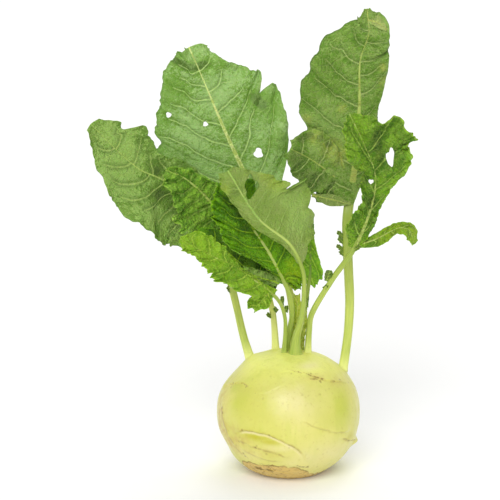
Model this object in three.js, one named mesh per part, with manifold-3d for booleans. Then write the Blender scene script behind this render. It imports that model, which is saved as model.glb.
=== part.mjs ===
// Kohlrabi, as picked: a swollen stem with nine leaves on long stalks.
// Units are millimetres, +Z is up, and the origin is the middle of the flat cut under the bulb.
import * as THREE from 'three';
import Module from 'manifold-3d';

const wasm = await Module();
wasm.setup();

// ---- driving dimensions ----
const bulbWidth = 86.6;
const bulbHeight = 74;
const widestHeight = 37;
const bulbSquareness = 2.2;
const baseDrop = 40;
const bladeThickness = 0.8;
const clearance = 0.35;
const socketDepth = 2;
const veinRelief = 0.35;
const stalkSides = 8;
const stalkRings = 17;
const ribShare = 0.84;

// Each scar is a low crescent ridge: angle round the bulb, height, half-width, half-height, relief.
const scars = [
  { angle: -114, height: 27, wide: 13, tall: 4, relief: 0.9 },
  { angle: -58, height: 31, wide: 16, tall: 3, relief: 0.7 },
  { angle: 2, height: 20, wide: 5, tall: 4, relief: 1.6 },
  { angle: 176, height: 48, wide: 6, tall: 4, relief: 1.2 },
  { angle: 60, height: 30, wide: 14, tall: 4, relief: 0.9 },
  { angle: 118, height: 38, wide: 14, tall: 4, relief: 0.9 },
  { angle: -30, height: 52, wide: 10, tall: 3, relief: 0.6 },
];

// Each leaf: the midrib line from its foot on the bulb to the tip, the part of that length where
// the blade starts, the way the upper side faces at the blade's foot, middle and tip, the fold of
// each half in degrees, and the reach (mm) and forward sweep (degrees) of the left and right margin
// at equal steps up the blade. A foot is given as x and y, and its height comes from the bulb.
const leaves = [
  {
    name: 'far_left',
    color: 0x7d9a45,
    stalk: [2.4, 1.7],
    spine: [[-22, 8], [-27, 11, 80], [-34, 15, 107], [-43, 13, 139], [-62, 9, 158], [-80, 3, 178],
      [-104, -3, 199], [-116, -7, 214]],
    bladeFrom: 0.48,
    facing: [[0.1, -1, 0.2], [0.05, -1, 0.3], [0.1, -1, 0.4]],
    fold: [8, 14],
    left: { reach: [9, 20, 27, 26, 23, 16, 4], sweep: [-10, -15, -25, -5, -10, -10, -5] },
    right: { reach: [11, 17, 19, 14, 20, 22, 7], sweep: [20, 5, 15, -20, -10, -10, -10] },
    wave: 1.6,
    waves: 4,
    rows: 22,
  },
  {
    name: 'back_left',
    color: 0x5f9440,
    stalk: [2.6, 2.0],
    spine: [[3, 12], [4, 15, 81], [1, 20, 107], [-10, 24, 139], [-25, 25, 176], [-38, 24, 205],
      [-51, 19, 237], [-59, 12, 257]],
    bladeFrom: 0.45,
    facing: [[0, -1, 0.05], [0, -1, 0.1], [0, -1, 0.3]],
    fold: [6, 6],
    left: { reach: [16, 52, 50, 43, 34, 20, 3], sweep: [15, 30, 40, 45, 55, 65, 50] },
    right: { reach: [18, 38, 47, 41, 31, 18, 9], sweep: [20, 30, 35, 35, 20, 10, -10] },
    wave: 2.2,
    waves: 5,
    rows: 27,
    holes: [[-72, 216, 1.7, 2], [-50, 210, 1.6, 1.6], [-18, 192, 2.8, 3.2]],
    notches: [
      { side: 'right', at: 0.42, depth: 0.26, wide: 0.03 },
      { side: 'left', at: 0.3, depth: 0.08, wide: 0.03 },
    ],
  },
  {
    name: 'inner_left',
    color: 0x4b7a30,
    stalk: [2.2, 1.6],
    spine: [[-7, 7], [-9, 9, 90], [-13, 8, 111], [-27, 6, 139], [-45, 1, 164], [-61, -5, 181],
      [-73, -8, 187]],
    bladeFrom: 0.6,
    facing: [[0, -1, 0.2], [0.1, -1, 0.3], [0.2, -1, 0.3]],
    fold: [6, 6],
    left: { reach: [9, 18, 25, 24, 17, 12, 4], sweep: [20, 5, 5, 10, 5, 40, 15] },
    right: { reach: [11, 14, 13, 10, 8, 7, 5], sweep: [25, 25, 15, -5, -20, -30, -40] },
    wave: 2.0,
    waves: 5,
    rows: 18,
  },
  {
    name: 'low_left',
    color: 0x86b63a,
    stalk: [1.6, 1.2],
    spine: [[-3, -5], [-2, -10, 90], [-4, -16, 106], [-15, -24, 120], [-33, -31, 134], [-46, -34, 141],
      [-64, -36, 151]],
    bladeFrom: 0.4,
    facing: [[0, -1, 0.5], [0, -1, 0.6], [0, -1, 0.6]],
    fold: [8, 10],
    left: { reach: [8, 11, 14, 15, 8, 6, 2], sweep: [5, 20, 35, 35, 30, 45, 0] },
    right: { reach: [9, 11, 13, 14, 15, 11, 2], sweep: [40, 25, 35, 25, 25, 30, 20] },
    wave: 1.4,
    waves: 5,
    rows: 20,
    lobes: [{
      spine: [[-12, -24, 116], [-16, -26, 112], [-21, -27, 107]],
      facing: [[0.1, -1, 0.4], [0.1, -1, 0.3]],
      left: { reach: [3, 6, 5, 2], sweep: [10, 10, 30, 40] },
      right: { reach: [4, 5, 5, 2], sweep: [20, 20, 30, 40] },
      rows: 6,
      halfColumns: 3,
    }],
  },
  {
    name: 'centre_left',
    color: 0x5e9a2c,
    stalk: [2.4, 1.8],
    spine: [[2, 2], [2, -1, 86], [2, -6, 106], [-2, -10, 121], [-13, -14, 139], [-28, -17, 163],
      [-41, -17, 181]],
    bladeFrom: 0.4,
    facing: [[0, -1, 0.15], [0.1, -1, 0.2], [0.1, -1, 0.3]],
    fold: [10, 14],
    left: { reach: [10, 21, 25, 24, 21, 12, 2], sweep: [35, 40, 45, 50, 50, 60, 35] },
    right: { reach: [9, 18, 20, 21, 18, 13, 4], sweep: [-15, -5, 15, 30, 35, 25, 5] },
    wave: 1.6,
    waves: 6,
    rows: 22,
  },
  {
    name: 'front',
    color: 0x9fb266,
    stalk: [2.4, 1.7],
    spine: [[7, -4], [8, -9, 88], [9, -15, 106], [8, -21, 125], [-2, -26, 145], [-18, -30, 162],
      [-36, -33, 191]],
    bladeFrom: 0.47,
    facing: [[-0.3, 1, -0.1], [-0.2, 1, -0.1], [-0.1, 1, -0.2]],
    fold: [25, 8],
    left: { reach: [11, 19, 32, 44, 35, 21, 5], sweep: [25, -15, -20, -10, -10, -10, -5] },
    right: { reach: [3, 8, 10, 12, 12, 11, 6], sweep: [40, 40, 45, 50, 45, 35, 15] },
    wave: 1.4,
    waves: 4,
    rows: 22,
    holes: [[-23, 179, 3.2, 6]],
  },
  {
    name: 'inner_right',
    color: 0x639c35,
    stalk: [1.7, 1.2],
    spine: [[9, 6], [11, 5, 96], [13, 0, 122], [13, -4, 145], [13, -6, 160]],
    bladeFrom: 0.5,
    facing: [[0.2, -1, 0], [0.2, -1, 0.1], [0.2, -1, 0.2]],
    fold: [5, 5],
    left: { reach: [5, 10, 9, 7, 2], sweep: [5, 30, 35, 30, 30] },
    right: { reach: [7, 10, 7, 3, 2], sweep: [-25, -20, -10, 5, 30] },
    wave: 1.0,
    waves: 4,
    rows: 14,
  },
  {
    name: 'front_right',
    color: 0x5d9a27,
    stalk: [2.4, 1.7],
    spine: [[14, 0], [15, -1, 95], [26, -5, 119], [41, -7, 141], [50, -8, 167], [51, -9, 184],
      [45, -13, 201], [35, -20, 222]],
    bladeFrom: 0.46,
    facing: [[0.2, -1, 0.2], [0.1, -1, 0.1], [-0.1, -1, 0.3]],
    fold: [10, 16],
    left: {
      reach: [4, 14, 11, 9, 7, 9, 17, 16, 11, 7, 3],
      sweep: [10, 0, 5, 15, 20, 20, 20, 30, 40, 45, 45],
    },
    right: {
      reach: [4, 6, 6, 9, 15, 26, 30, 26, 15, 13, 3],
      sweep: [35, 40, 50, 35, 35, 25, 20, 20, 15, 20, 30],
    },
    wave: 1.8,
    waves: 6,
    rows: 28,
    holes: [[60, 197, 2.8, 6]],
    notches: [
      { side: 'right', at: 0.78, depth: 0.2, wide: 0.03 },
      { side: 'right', at: 0.56, depth: 0.12, wide: 0.02 },
    ],
    lobes: [{
      spine: [[47.5, -8, 141.5], [57, -9, 148], [70, -13, 153], [76, -18, 144]],
      facing: [[0.1, -1, 0.4], [0, -1, 0.7], [0.7, -0.8, 0.3]],
      left: { reach: [5, 6, 5, 6, 2], sweep: [10, 20, 20, 20, 40] },
      right: { reach: [5, 6, 4, 5, 2], sweep: [10, 20, 20, 20, 40] },
      rows: 12,
      halfColumns: 3,
    }],
  },
  {
    name: 'back_right',
    color: 0x6c9a45,
    stalk: [3.2, 2.5],
    spine: [[33, 6], [38, 12, 91], [36, 16, 127], [37, 18, 162], [41, 20, 191], [43, 20, 222],
      [43, 18, 251], [45, 6, 281]],
    bladeFrom: 0.46,
    facing: [[0, -1, 0.1], [0, -1, 0.05], [-0.1, -1, 0.3]],
    fold: [6, 8],
    left: { reach: [17, 26, 37, 42, 39, 32, 21, 11, 2], sweep: [0, 5, 20, 25, 35, 40, 50, 50, 30] },
    right: { reach: [7, 15, 19, 18, 18, 20, 18, 16, 2], sweep: [45, 50, 55, 50, 40, 35, 35, 40, 25] },
    wave: 2.0,
    waves: 5,
    rows: 27,
    lobes: [{
      spine: [[33, 20, 173], [25, 17, 181], [12, 12, 191], [1, 9, 197]],
      facing: [[0.2, -1, 0.1], [0.1, -1, 0.1], [0, -1, 0.2]],
      left: { reach: [6, 14, 16, 11, 3], sweep: [-10, -10, 0, 10, 30] },
      right: { reach: [6, 12, 16, 14, 3], sweep: [10, 10, 10, 10, 30] },
      rows: 12,
      halfColumns: 3,
    }],
  },
];

// Small leaves in the axils, fused to the stalk they grow from: which leaf, how far up its stalk,
// the way they point and their length.
const axilLeaves = [
  { on: 'far_left', at: 0.24, point: [-1, 0.1, 0.6], length: 6 },
  { on: 'inner_left', at: 0.23, point: [-1, 0, 0.5], length: 5 },
  { on: 'front_right', at: 0.27, point: [-0.3, -0.4, 1], length: 6 },
  { on: 'front_right', at: 0.33, point: [-0.7, -0.4, 1], length: 6 },
  { on: 'back_right', at: 0.36, point: [-1, -0.3, 0.4], length: 5 },
  { on: 'back_right', at: 0.41, point: [-1, -0.3, 0.5], length: 5 },
];

// The youngest leaves in the middle of the crown, as spines, with their half-widths.
const youngLeaves = [
  { spine: [[5.2, 6.5, 76], [5, 6.5, 88], [5.6, 6, 99], [4.6, 5, 109]], half: [0.8, 1.4, 2.2, 1.6] },
  { spine: [[5.2, 7.5, 76], [6, 8, 86], [6.8, 8, 94], [6.4, 7, 103]], half: [0.8, 1.2, 1.8, 1.2] },
];
const youngRoot = { x: 5.2, y: 6.8, radius: 1.4 };

// ---- solids from point grids ----
function meshOf(positions, triangles) {
  return new wasm.Mesh({
    numProp: 3,
    vertProperties: new Float32Array(positions),
    triVerts: new Uint32Array(triangles),
  });
}

function solidOf(positions, triangles) {
  return new wasm.Manifold(meshOf(positions, triangles));
}

function geometryOf(solid) {
  const mesh = solid.getMesh();
  const geometry = new THREE.BufferGeometry();
  geometry.setAttribute('position', new THREE.BufferAttribute(new Float32Array(mesh.vertProperties), 3));
  geometry.setIndex(Array.from(mesh.triVerts));
  geometry.computeVertexNormals();
  return geometry;
}

// Smooth value along a list of evenly spaced numbers, eased between neighbours.
function valueAlong(list, t) {
  const place = THREE.MathUtils.clamp(t, 0, 1) * (list.length - 1);
  const i = Math.min(Math.floor(place), list.length - 2);
  const f = place - i;
  const before = list[Math.max(i - 1, 0)];
  const after = list[Math.min(i + 2, list.length - 1)];
  const rise = (list[i + 1] - before) / 2;
  const nextRise = (after - list[i]) / 2;
  const g = f * f * (3 - 2 * f);
  return list[i] * (1 - g) + list[i + 1] * g + f * (1 - f) * ((1 - f) * rise - f * nextRise);
}

function vectorAlong(list, t) {
  return new THREE.Vector3(
    valueAlong(list.map((v) => v[0]), t),
    valueAlong(list.map((v) => v[1]), t),
    valueAlong(list.map((v) => v[2]), t),
  );
}

// ---- the bulb ----
// Its radius at a height is a squarish ellipse above and below the widest ring.
function bulbRadius(z) {
  const half = z > widestHeight ? bulbHeight - widestHeight : baseDrop;
  const u = Math.min(Math.abs(z - widestHeight) / half, 1);
  return (bulbWidth / 2) * Math.pow(1 - Math.pow(u, bulbSquareness), 1 / bulbSquareness);
}

function bulbTop(x, y) {
  const u = Math.min(Math.hypot(x, y) / (bulbWidth / 2), 1);
  const rise = Math.pow(1 - Math.pow(u, bulbSquareness), 1 / bulbSquareness);
  return widestHeight + (bulbHeight - widestHeight) * rise;
}

// Low lobes round the bulb, and a crescent ridge with a hollow above it at each scar.
function bulbRelief(angle, z) {
  let relief = 0.5 * Math.sin(3 * angle + 0.6) + 0.35 * Math.sin(5 * angle + 2 + z / 18);
  for (const scar of scars) {
    const turn = angle - THREE.MathUtils.degToRad(scar.angle);
    const along = Math.atan2(Math.sin(turn), Math.cos(turn)) * bulbRadius(scar.height);
    const up = z - scar.height - 0.02 * along * along;
    const fade = Math.exp(-((along / scar.wide) ** 2));
    relief += scar.relief * fade * Math.exp(-((up / scar.tall) ** 2));
    relief -= 0.5 * scar.relief * fade * Math.exp(-(((up - 1.6 * scar.tall) / scar.tall) ** 2));
  }
  return relief;
}

function bulbSolid() {
  const around = 44;
  const rings = 21;
  const positions = [0, 0, 0];
  const triangles = [];
  for (let i = 0; i < rings; i += 1) {
    const bottomTurn = Math.asin(widestHeight / baseDrop);
    const turn = -bottomTurn + (Math.PI / 2 + bottomTurn) * (i / rings);
    const half = turn > 0 ? bulbHeight - widestHeight : baseDrop;
    const z = i === 0 ? 0 : widestHeight + half * Math.sin(turn);
    for (let k = 0; k < around; k += 1) {
      const angle = (2 * Math.PI * k) / around;
      const ease = Math.min(z / 12, 1) * Math.min((bulbHeight - z) / 8, 1);
      const radius = bulbRadius(z) + ease * bulbRelief(angle, z);
      positions.push(radius * Math.cos(angle), radius * Math.sin(angle), z);
    }
  }
  positions.push(0, 0, bulbHeight - 0.4);
  const top = positions.length / 3 - 1;
  const at = (i, k) => 1 + i * around + (k % around);
  for (let k = 0; k < around; k += 1) {
    triangles.push(0, at(0, k + 1), at(0, k));
    triangles.push(top, at(rings - 1, k), at(rings - 1, k + 1));
    for (let i = 0; i < rings - 1; i += 1) {
      triangles.push(at(i, k), at(i, k + 1), at(i + 1, k + 1));
      triangles.push(at(i, k), at(i + 1, k + 1), at(i + 1, k));
    }
  }
  return solidOf(positions, triangles);
}

// ---- stalks ----
function spineOf(leaf) {
  const points = leaf.spine.map((p, i) => {
    const foot = i === 0 && p.length === 2;
    return new THREE.Vector3(p[0], p[1], foot ? bulbTop(p[0], p[1]) - socketDepth : p[2]);
  });
  return new THREE.CatmullRomCurve3(points, false, 'centripetal');
}

// Stalk radius: a flared foot, an even stalk, then a midrib that tapers up the blade.
function stalkRadius(leaf, t, length) {
  const flare = 0.9 * Math.exp(-(t * length) / 7);
  const along = THREE.MathUtils.smoothstep(t, 0, leaf.bladeFrom);
  const stalk = THREE.MathUtils.lerp(leaf.stalk[0], leaf.stalk[1], along);
  const blade = Math.max(t - leaf.bladeFrom, 0) / (1 - leaf.bladeFrom);
  return Math.max((stalk + flare) * (1 - 0.92 * blade), 0.45);
}

// Tube round a curve from one place to another, its sides turned with the leaf's facing.
function tubeSolid(curve, from, to, rings, radiusAt, facing) {
  const positions = [];
  const triangles = [];
  for (let i = 0; i < rings; i += 1) {
    const t = from + ((to - from) * i) / (rings - 1);
    const centre = curve.getPointAt(THREE.MathUtils.clamp(t, 0, 1));
    const tangent = curve.getTangentAt(THREE.MathUtils.clamp(t, 0, 1));
    centre.addScaledVector(tangent, (t - THREE.MathUtils.clamp(t, 0, 1)) * curve.getLength());
    const front = facing.clone().addScaledVector(tangent, -facing.dot(tangent)).normalize();
    const side = new THREE.Vector3().crossVectors(tangent, front);
    for (let k = 0; k < stalkSides; k += 1) {
      const angle = (2 * Math.PI * (k + 0.5)) / stalkSides;
      const point = centre.clone();
      point.addScaledVector(side, radiusAt(t) * Math.cos(angle));
      point.addScaledVector(front, radiusAt(t) * Math.sin(angle));
      positions.push(point.x, point.y, point.z);
    }
  }
  const at = (i, k) => i * stalkSides + (k % stalkSides);
  for (let k = 0; k < stalkSides; k += 1) {
    for (let i = 0; i < rings - 1; i += 1) {
      triangles.push(at(i, k), at(i + 1, k + 1), at(i, k + 1));
      triangles.push(at(i, k), at(i + 1, k), at(i + 1, k + 1));
    }
  }
  for (let k = 1; k < stalkSides - 1; k += 1) {
    triangles.push(at(0, 0), at(0, k), at(0, k + 1));
    triangles.push(at(rings - 1, 0), at(rings - 1, k + 1), at(rings - 1, k));
  }
  return solidOf(positions, triangles);
}

// ---- blades ----
// A notch shortens the reach round one place on a margin.
function notchFactor(leaf, right, t) {
  let factor = 1;
  for (const notch of leaf.notches || []) {
    if ((notch.side === 'right') === right) {
      factor -= notch.depth * Math.exp(-(((t - notch.at) / notch.wide) ** 2));
    }
  }
  return factor;
}

// A blade is a thin closed sheet on rows that run out from the midrib as the side veins do. Each row
// leans forward by its sweep, rises with the fold, waves more towards the margin, and every third
// row is raised as a side vein. A slot down the middle holds the midrib over the first ribRows rows.
function bladeSolid(curve, leaf, from, ribRows, ribRadius) {
  const halfColumns = leaf.halfColumns || 5;
  const rows = leaf.rows;
  const fold = leaf.fold || [4, 4];
  const wave = leaf.wave || 0.5;
  const waves = leaf.waves || 2;
  const points = [];
  for (let i = 0; i <= rows; i += 1) {
    const t = i / rows;
    const place = from + (1 - from) * t;
    const centre = curve.getPointAt(place);
    const tangent = curve.getTangentAt(place);
    const facing = vectorAlong(leaf.facing, t);
    const normal = facing.addScaledVector(tangent, -facing.dot(tangent)).normalize();
    const side = new THREE.Vector3().crossVectors(tangent, normal);
    const row = [];
    for (let column = -halfColumns; column <= halfColumns; column += 1) {
      if (column === 0) {
        continue;
      }
      const right = column > 0;
      const plan = right ? leaf.right : leaf.left;
      const tooth = 1 + 0.05 * Math.sin(2 * Math.PI * (i / 3 + 0.3)) + 0.04 * Math.sin(5 * t + column);
      const inner = ribRadius(place) + clearance;
      const planned = valueAlong(plan.reach, t) * tooth * notchFactor(leaf, right, t);
      const reach = Math.max(planned, inner + 0.8);
      const share = (Math.abs(column) - 1) / (halfColumns - 1);
      const out = inner + (reach - inner) * share;
      const sweep = THREE.MathUtils.degToRad(valueAlong(plan.sweep, t)) * Math.min(0.35 + share, 1);
      const angle = THREE.MathUtils.degToRad(fold[right ? 1 : 0]);
      const phase = right ? 0.8 : 2.4;
      const ripple = wave * share * share * Math.sin(2 * Math.PI * waves * t + phase);
      const lift = ripple + out * Math.cos(sweep) * Math.sin(angle);
      const point = centre.clone();
      point.addScaledVector(side, (right ? 1 : -1) * out * Math.cos(sweep) * Math.cos(angle));
      point.addScaledVector(tangent, out * Math.sin(sweep) * share);
      point.addScaledVector(normal, lift);
      const vein = i % 3 === 1 ? veinRelief * (1 - 0.7 * share) : 0;
      row.push({ point, normal, half: bladeThickness / 2 + vein });
    }
    points.push(row);
  }
  const columns = 2 * halfColumns;
  const kept = (i, j) => {
    const inside = i >= 0 && i < rows && j >= 0 && j < columns - 1;
    const slot = j === halfColumns - 1 && i < ribRows;
    return inside && !slot;
  };
  const positions = [];
  for (const face of [1, -1]) {
    for (const row of points) {
      for (const { point, normal, half } of row) {
        const p = point.clone().addScaledVector(normal, face * half);
        positions.push(p.x, p.y, p.z);
      }
    }
  }
  const upper = (i, j) => i * columns + j;
  const lower = (i, j) => (rows + 1) * columns + i * columns + j;
  const triangles = [];
  const wall = (i1, j1, i2, j2) => {
    triangles.push(upper(i1, j1), lower(i1, j1), lower(i2, j2));
    triangles.push(upper(i1, j1), lower(i2, j2), upper(i2, j2));
  };
  for (let i = 0; i < rows; i += 1) {
    for (let j = 0; j < columns - 1; j += 1) {
      if (!kept(i, j)) {
        continue;
      }
      triangles.push(upper(i, j), upper(i, j + 1), upper(i + 1, j + 1));
      triangles.push(upper(i, j), upper(i + 1, j + 1), upper(i + 1, j));
      triangles.push(lower(i, j), lower(i + 1, j + 1), lower(i, j + 1));
      triangles.push(lower(i, j), lower(i + 1, j), lower(i + 1, j + 1));
      if (!kept(i - 1, j)) {
        wall(i, j, i, j + 1);
      }
      if (!kept(i + 1, j)) {
        wall(i + 1, j + 1, i + 1, j);
      }
      if (!kept(i, j - 1)) {
        wall(i + 1, j, i, j);
      }
      if (!kept(i, j + 1)) {
        wall(i, j + 1, i + 1, j + 1);
      }
    }
  }
  return solidOf(positions, triangles);
}

// A pin along Y that opens a bite hole through a blade: its centre, half-width and half-height.
function holePin([x, z, halfWidth, halfHeight]) {
  const pin = wasm.Manifold.cylinder(120, 1, 1, 7, true);
  return pin.rotate([90, 0, 0]).scale([halfWidth, 1, halfHeight]).translate([x, 0, z]);
}

// ---- assembly ----
const kohlrabi = new THREE.Group();
kohlrabi.name = 'kohlrabi';

function addNode(name, solid, color, roughness) {
  const material = new THREE.MeshStandardMaterial({ color, roughness, metalness: 0 });
  const mesh = new THREE.Mesh(geometryOf(solid), material);
  mesh.name = name;
  kohlrabi.add(mesh);
}

let bulb = bulbSolid();

for (const leaf of leaves) {
  const curve = spineOf(leaf);
  const length = curve.getLength();
  const radiusAt = (t) => stalkRadius(leaf, t, length);
  const facing = new THREE.Vector3(...leaf.facing[1]).normalize();
  const ribRows = Math.round(ribShare * leaf.rows);
  const ribEnd = leaf.bladeFrom + (ribRows / leaf.rows) * (1 - leaf.bladeFrom);
  const ribGap = clearance / length;

  const socketWall = (t) => radiusAt(t) + clearance;
  const socket = tubeSolid(curve, -clearance / length, 7 / length, 4, socketWall, facing);
  bulb = bulb.subtract(socket);

  let stalk = tubeSolid(curve, 0, ribEnd - ribGap, stalkRings, radiusAt, facing);
  for (const small of axilLeaves.filter((entry) => entry.on === leaf.name)) {
    const root = curve.getPointAt(small.at);
    const point = new THREE.Vector3(...small.point).normalize();
    const tip = root.clone().addScaledVector(point, small.length);
    const middle = root.clone().lerp(tip, 0.5).add(new THREE.Vector3(0, 0, -0.6));
    const line = new THREE.CatmullRomCurve3([root, middle, tip], false, 'centripetal');
    const plan = { reach: [0.9, 1.7, 2, 0.7], sweep: [20, 20, 30, 40] };
    const sheet = { left: plan, right: plan, facing: [[0.1, -1, 0.3], [0.1, -1, 0.5]] };
    Object.assign(sheet, { rows: 4, halfColumns: 2 });
    stalk = stalk.add(bladeSolid(line, sheet, 0, 0, () => 0));
  }

  let blade = bladeSolid(curve, leaf, leaf.bladeFrom, ribRows, radiusAt);
  for (const lobe of leaf.lobes || []) {
    const lobeCurve = spineOf(lobe);
    blade = blade.add(bladeSolid(lobeCurve, lobe, 0, 0, () => 0));
  }
  for (const hole of leaf.holes || []) {
    blade = blade.subtract(holePin(hole));
  }
  addNode(`${leaf.name}_stalk`, stalk, 0xb9c963, 0.5);
  addNode(`${leaf.name}_blade`, blade, leaf.color, 0.55);
}

const rootLine = new THREE.CatmullRomCurve3([
  new THREE.Vector3(youngRoot.x, youngRoot.y, bulbTop(youngRoot.x, youngRoot.y) - socketDepth),
  new THREE.Vector3(youngRoot.x, youngRoot.y, 78),
]);
const rootFacing = new THREE.Vector3(0, -1, 0);
let young = tubeSolid(rootLine, 0, 1, 3, () => youngRoot.radius, rootFacing);
const rootSocket = tubeSolid(rootLine, -0.08, 1, 3, () => youngRoot.radius + clearance, rootFacing);
bulb = bulb.subtract(rootSocket);
for (const small of youngLeaves) {
  const plan = { reach: small.half, sweep: [10, 20, 30, 40] };
  const sheet = { left: plan, right: plan, facing: [[0, -1, 0], [0, -1, 0.4]] };
  Object.assign(sheet, { rows: 6, halfColumns: 2 });
  young = young.add(bladeSolid(spineOf(small), sheet, 0, 0, () => 0));
}
addNode('young_leaves', young, 0xc3cf4a, 0.5);
addNode('bulb', bulb, 0xd3d77f, 0.4);

export default kohlrabi;
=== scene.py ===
import bpy
import math
import numpy as np
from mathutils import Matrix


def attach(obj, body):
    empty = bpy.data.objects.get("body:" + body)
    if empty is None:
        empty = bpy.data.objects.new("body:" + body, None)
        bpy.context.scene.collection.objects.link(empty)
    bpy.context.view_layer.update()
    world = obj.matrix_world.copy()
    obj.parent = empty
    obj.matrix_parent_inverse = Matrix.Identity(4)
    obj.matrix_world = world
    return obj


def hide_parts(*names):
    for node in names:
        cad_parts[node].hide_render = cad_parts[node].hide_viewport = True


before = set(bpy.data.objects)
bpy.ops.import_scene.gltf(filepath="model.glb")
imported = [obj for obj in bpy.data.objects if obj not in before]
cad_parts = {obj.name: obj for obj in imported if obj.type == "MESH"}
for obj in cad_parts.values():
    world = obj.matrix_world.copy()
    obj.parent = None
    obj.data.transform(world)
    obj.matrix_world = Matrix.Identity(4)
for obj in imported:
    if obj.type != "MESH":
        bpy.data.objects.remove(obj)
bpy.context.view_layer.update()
print("frame loaded with", len(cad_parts), "nodes")

mm = 0.001  # all the sizes below are in millimetres


# value of evenly spaced numbers at t from 0 to 1: an ease between neighbours plus their slopes
def valueAlong(numbers, t):
    numbers = np.asarray(numbers, float)
    place = np.clip(t, 0, 1) * (len(numbers) - 1)
    i = np.minimum(place.astype(int), len(numbers) - 2)
    f = place - i
    rise = (numbers[i + 1] - numbers[np.maximum(i - 1, 0)]) / 2
    nextRise = (numbers[np.minimum(i + 2, len(numbers) - 1)] - numbers[i]) / 2
    g = f * f * (3 - 2 * f)
    return numbers[i] * (1 - g) + numbers[i + 1] * g + f * (1 - f) * ((1 - f) * rise - f * nextRise)


# centripetal Catmull-Rom line through the points, as (samples, share of length, length)
def curveThrough(points, samples=80):
    p = np.array(points, float)
    p = np.vstack([2 * p[0] - p[1], p, 2 * p[-1] - p[-2]])
    step = np.maximum(np.linalg.norm(np.diff(p, axis=0), axis=1) ** 0.5, 1e-4)
    parts = []
    for i in range(1, len(p) - 2):
        x0, x1, x2, x3 = p[i - 1 : i + 3]
        a, b, c = step[i - 1], step[i], step[i + 1]
        leave = ((x1 - x0) / a - (x2 - x0) / (a + b) + (x2 - x1) / b) * b
        arrive = ((x2 - x1) / b - (x3 - x1) / (b + c) + (x3 - x2) / c) * b
        u = np.linspace(0, 1, samples, endpoint=i == len(p) - 3)[:, None]
        cubic = (2 * x1 - 2 * x2 + leave + arrive) * u**3 + (-3 * x1 + 3 * x2 - 2 * leave - arrive) * u**2
        parts.append(x1 + leave * u + cubic)
    line = np.vstack(parts)
    share = np.r_[0, np.cumsum(np.linalg.norm(np.diff(line, axis=0), axis=1))]
    return line, share / share[-1], share[-1]


# point and unit tangent of a curve at a share of its length
def curveAt(curve, t):
    line, share, length = curve

    # the line at shares v of its length
    def pick(v):
        return np.stack([np.interp(v, share, line[:, k]) for k in range(3)], -1)

    inside = np.clip(t, 0, 1)
    ahead = pick(np.clip(inside + 0.006, 0, 1)) - pick(np.clip(inside - 0.006, 0, 1))
    tangent = ahead / np.linalg.norm(ahead, axis=-1, keepdims=True)
    return pick(inside) + tangent * ((t - inside) * length)[..., None], tangent


# smooth wandering between about -1 and 1: a sum of sines with seeded phases
def wander(x, seed, tones=5):
    rng = np.random.default_rng(seed)
    total = np.zeros_like(x)
    for k in range(tones):
        total += np.sin(x * (1.0 + 0.83 * k) + rng.uniform(0, 2 * np.pi)) / (1 + 0.5 * k)
    return total / 2.2


# each vector divided by its length
def unit(v):
    return v / np.maximum(np.linalg.norm(v, axis=-1, keepdims=True), 1e-12)


# points in mm, faces as a list of (n, 4) and (n, 3) index arrays, uv and tone one row a point
def makeMesh(name, points, faces, uv=None, tone=None, mark=None):
    mesh = bpy.data.meshes.new(name)
    faces = [f for f in faces if len(f)]
    corners = np.concatenate([f.ravel() for f in faces]).astype(np.int32)
    sizes = np.concatenate([np.full(len(f), f.shape[1]) for f in faces])
    starts = np.r_[0, np.cumsum(sizes)[:-1]].astype(np.int32)
    mesh.vertices.add(len(points))
    mesh.vertices.foreach_set("co", (points * mm).astype(np.float32).ravel())
    mesh.loops.add(len(corners))
    mesh.loops.foreach_set("vertex_index", corners)
    mesh.polygons.add(len(starts))
    mesh.polygons.foreach_set("loop_start", starts)
    mesh.polygons.foreach_set("use_smooth", np.ones(len(starts), bool))
    mesh.update(calc_edges=True)
    if uv is not None:
        layer = mesh.uv_layers.new(name="UVMap")
        layer.data.foreach_set("uv", uv[corners].astype(np.float32).ravel())
    for label, values in (("tone", tone), ("mark", mark)):
        if values is not None:
            layer = mesh.color_attributes.new(name=label, type="FLOAT_COLOR", domain="POINT")
            layer.data.foreach_set("color", values.astype(np.float32).ravel())
    mesh.validate()
    piece = bpy.data.objects.new(name, mesh)
    bpy.context.scene.collection.objects.link(piece)
    return piece


# index array of the quads of a grid, keeping only those that the mask keeps
def gridQuads(rows, columns, keep=None, wrap=False):
    i, j = np.meshgrid(np.arange(rows - 1), np.arange(columns if wrap else columns - 1), indexing="ij")
    k = (j + 1) % columns
    quads = np.stack([i * columns + j, i * columns + k, (i + 1) * columns + k, (i + 1) * columns + j], -1)
    return quads[keep] if keep is not None else quads.reshape(-1, 4)


# walls between an upper and a lower grid wherever a kept quad has no kept neighbour
def rimQuads(columns, keep, lower):
    padded = np.pad(keep, 1)
    i, j = np.meshgrid(np.arange(keep.shape[0]), np.arange(keep.shape[1]), indexing="ij")
    at = i * columns + j
    sides = [
        (~padded[:-2, 1:-1], at, at + 1),
        (~padded[2:, 1:-1], at + columns + 1, at + columns),
        (~padded[1:-1, :-2], at + columns, at),
        (~padded[1:-1, 2:], at + 1, at + columns + 1),
    ]
    walls = []
    for bare, a, b in sides:
        edge = keep & bare
        walls.append(np.stack([a[edge], a[edge] + lower, b[edge] + lower, b[edge]], -1))
    return np.concatenate(walls)


bulbForm = {
    "width": 86.6,
    "height": 74.0,
    "widest": 37.0,  # height of the widest ring
    "squareness": 2.2,
    "baseDrop": 40.0,  # how deep the lower half would reach before its flat cut
    "socket": 2.0,  # how deep a stalk's foot sits
    "around": 340,
    "rings": 190,
    "crownRise": 0.9,  # flesh drawn up round each stalk's foot
    "crownSpread": 5.0,
}

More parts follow.
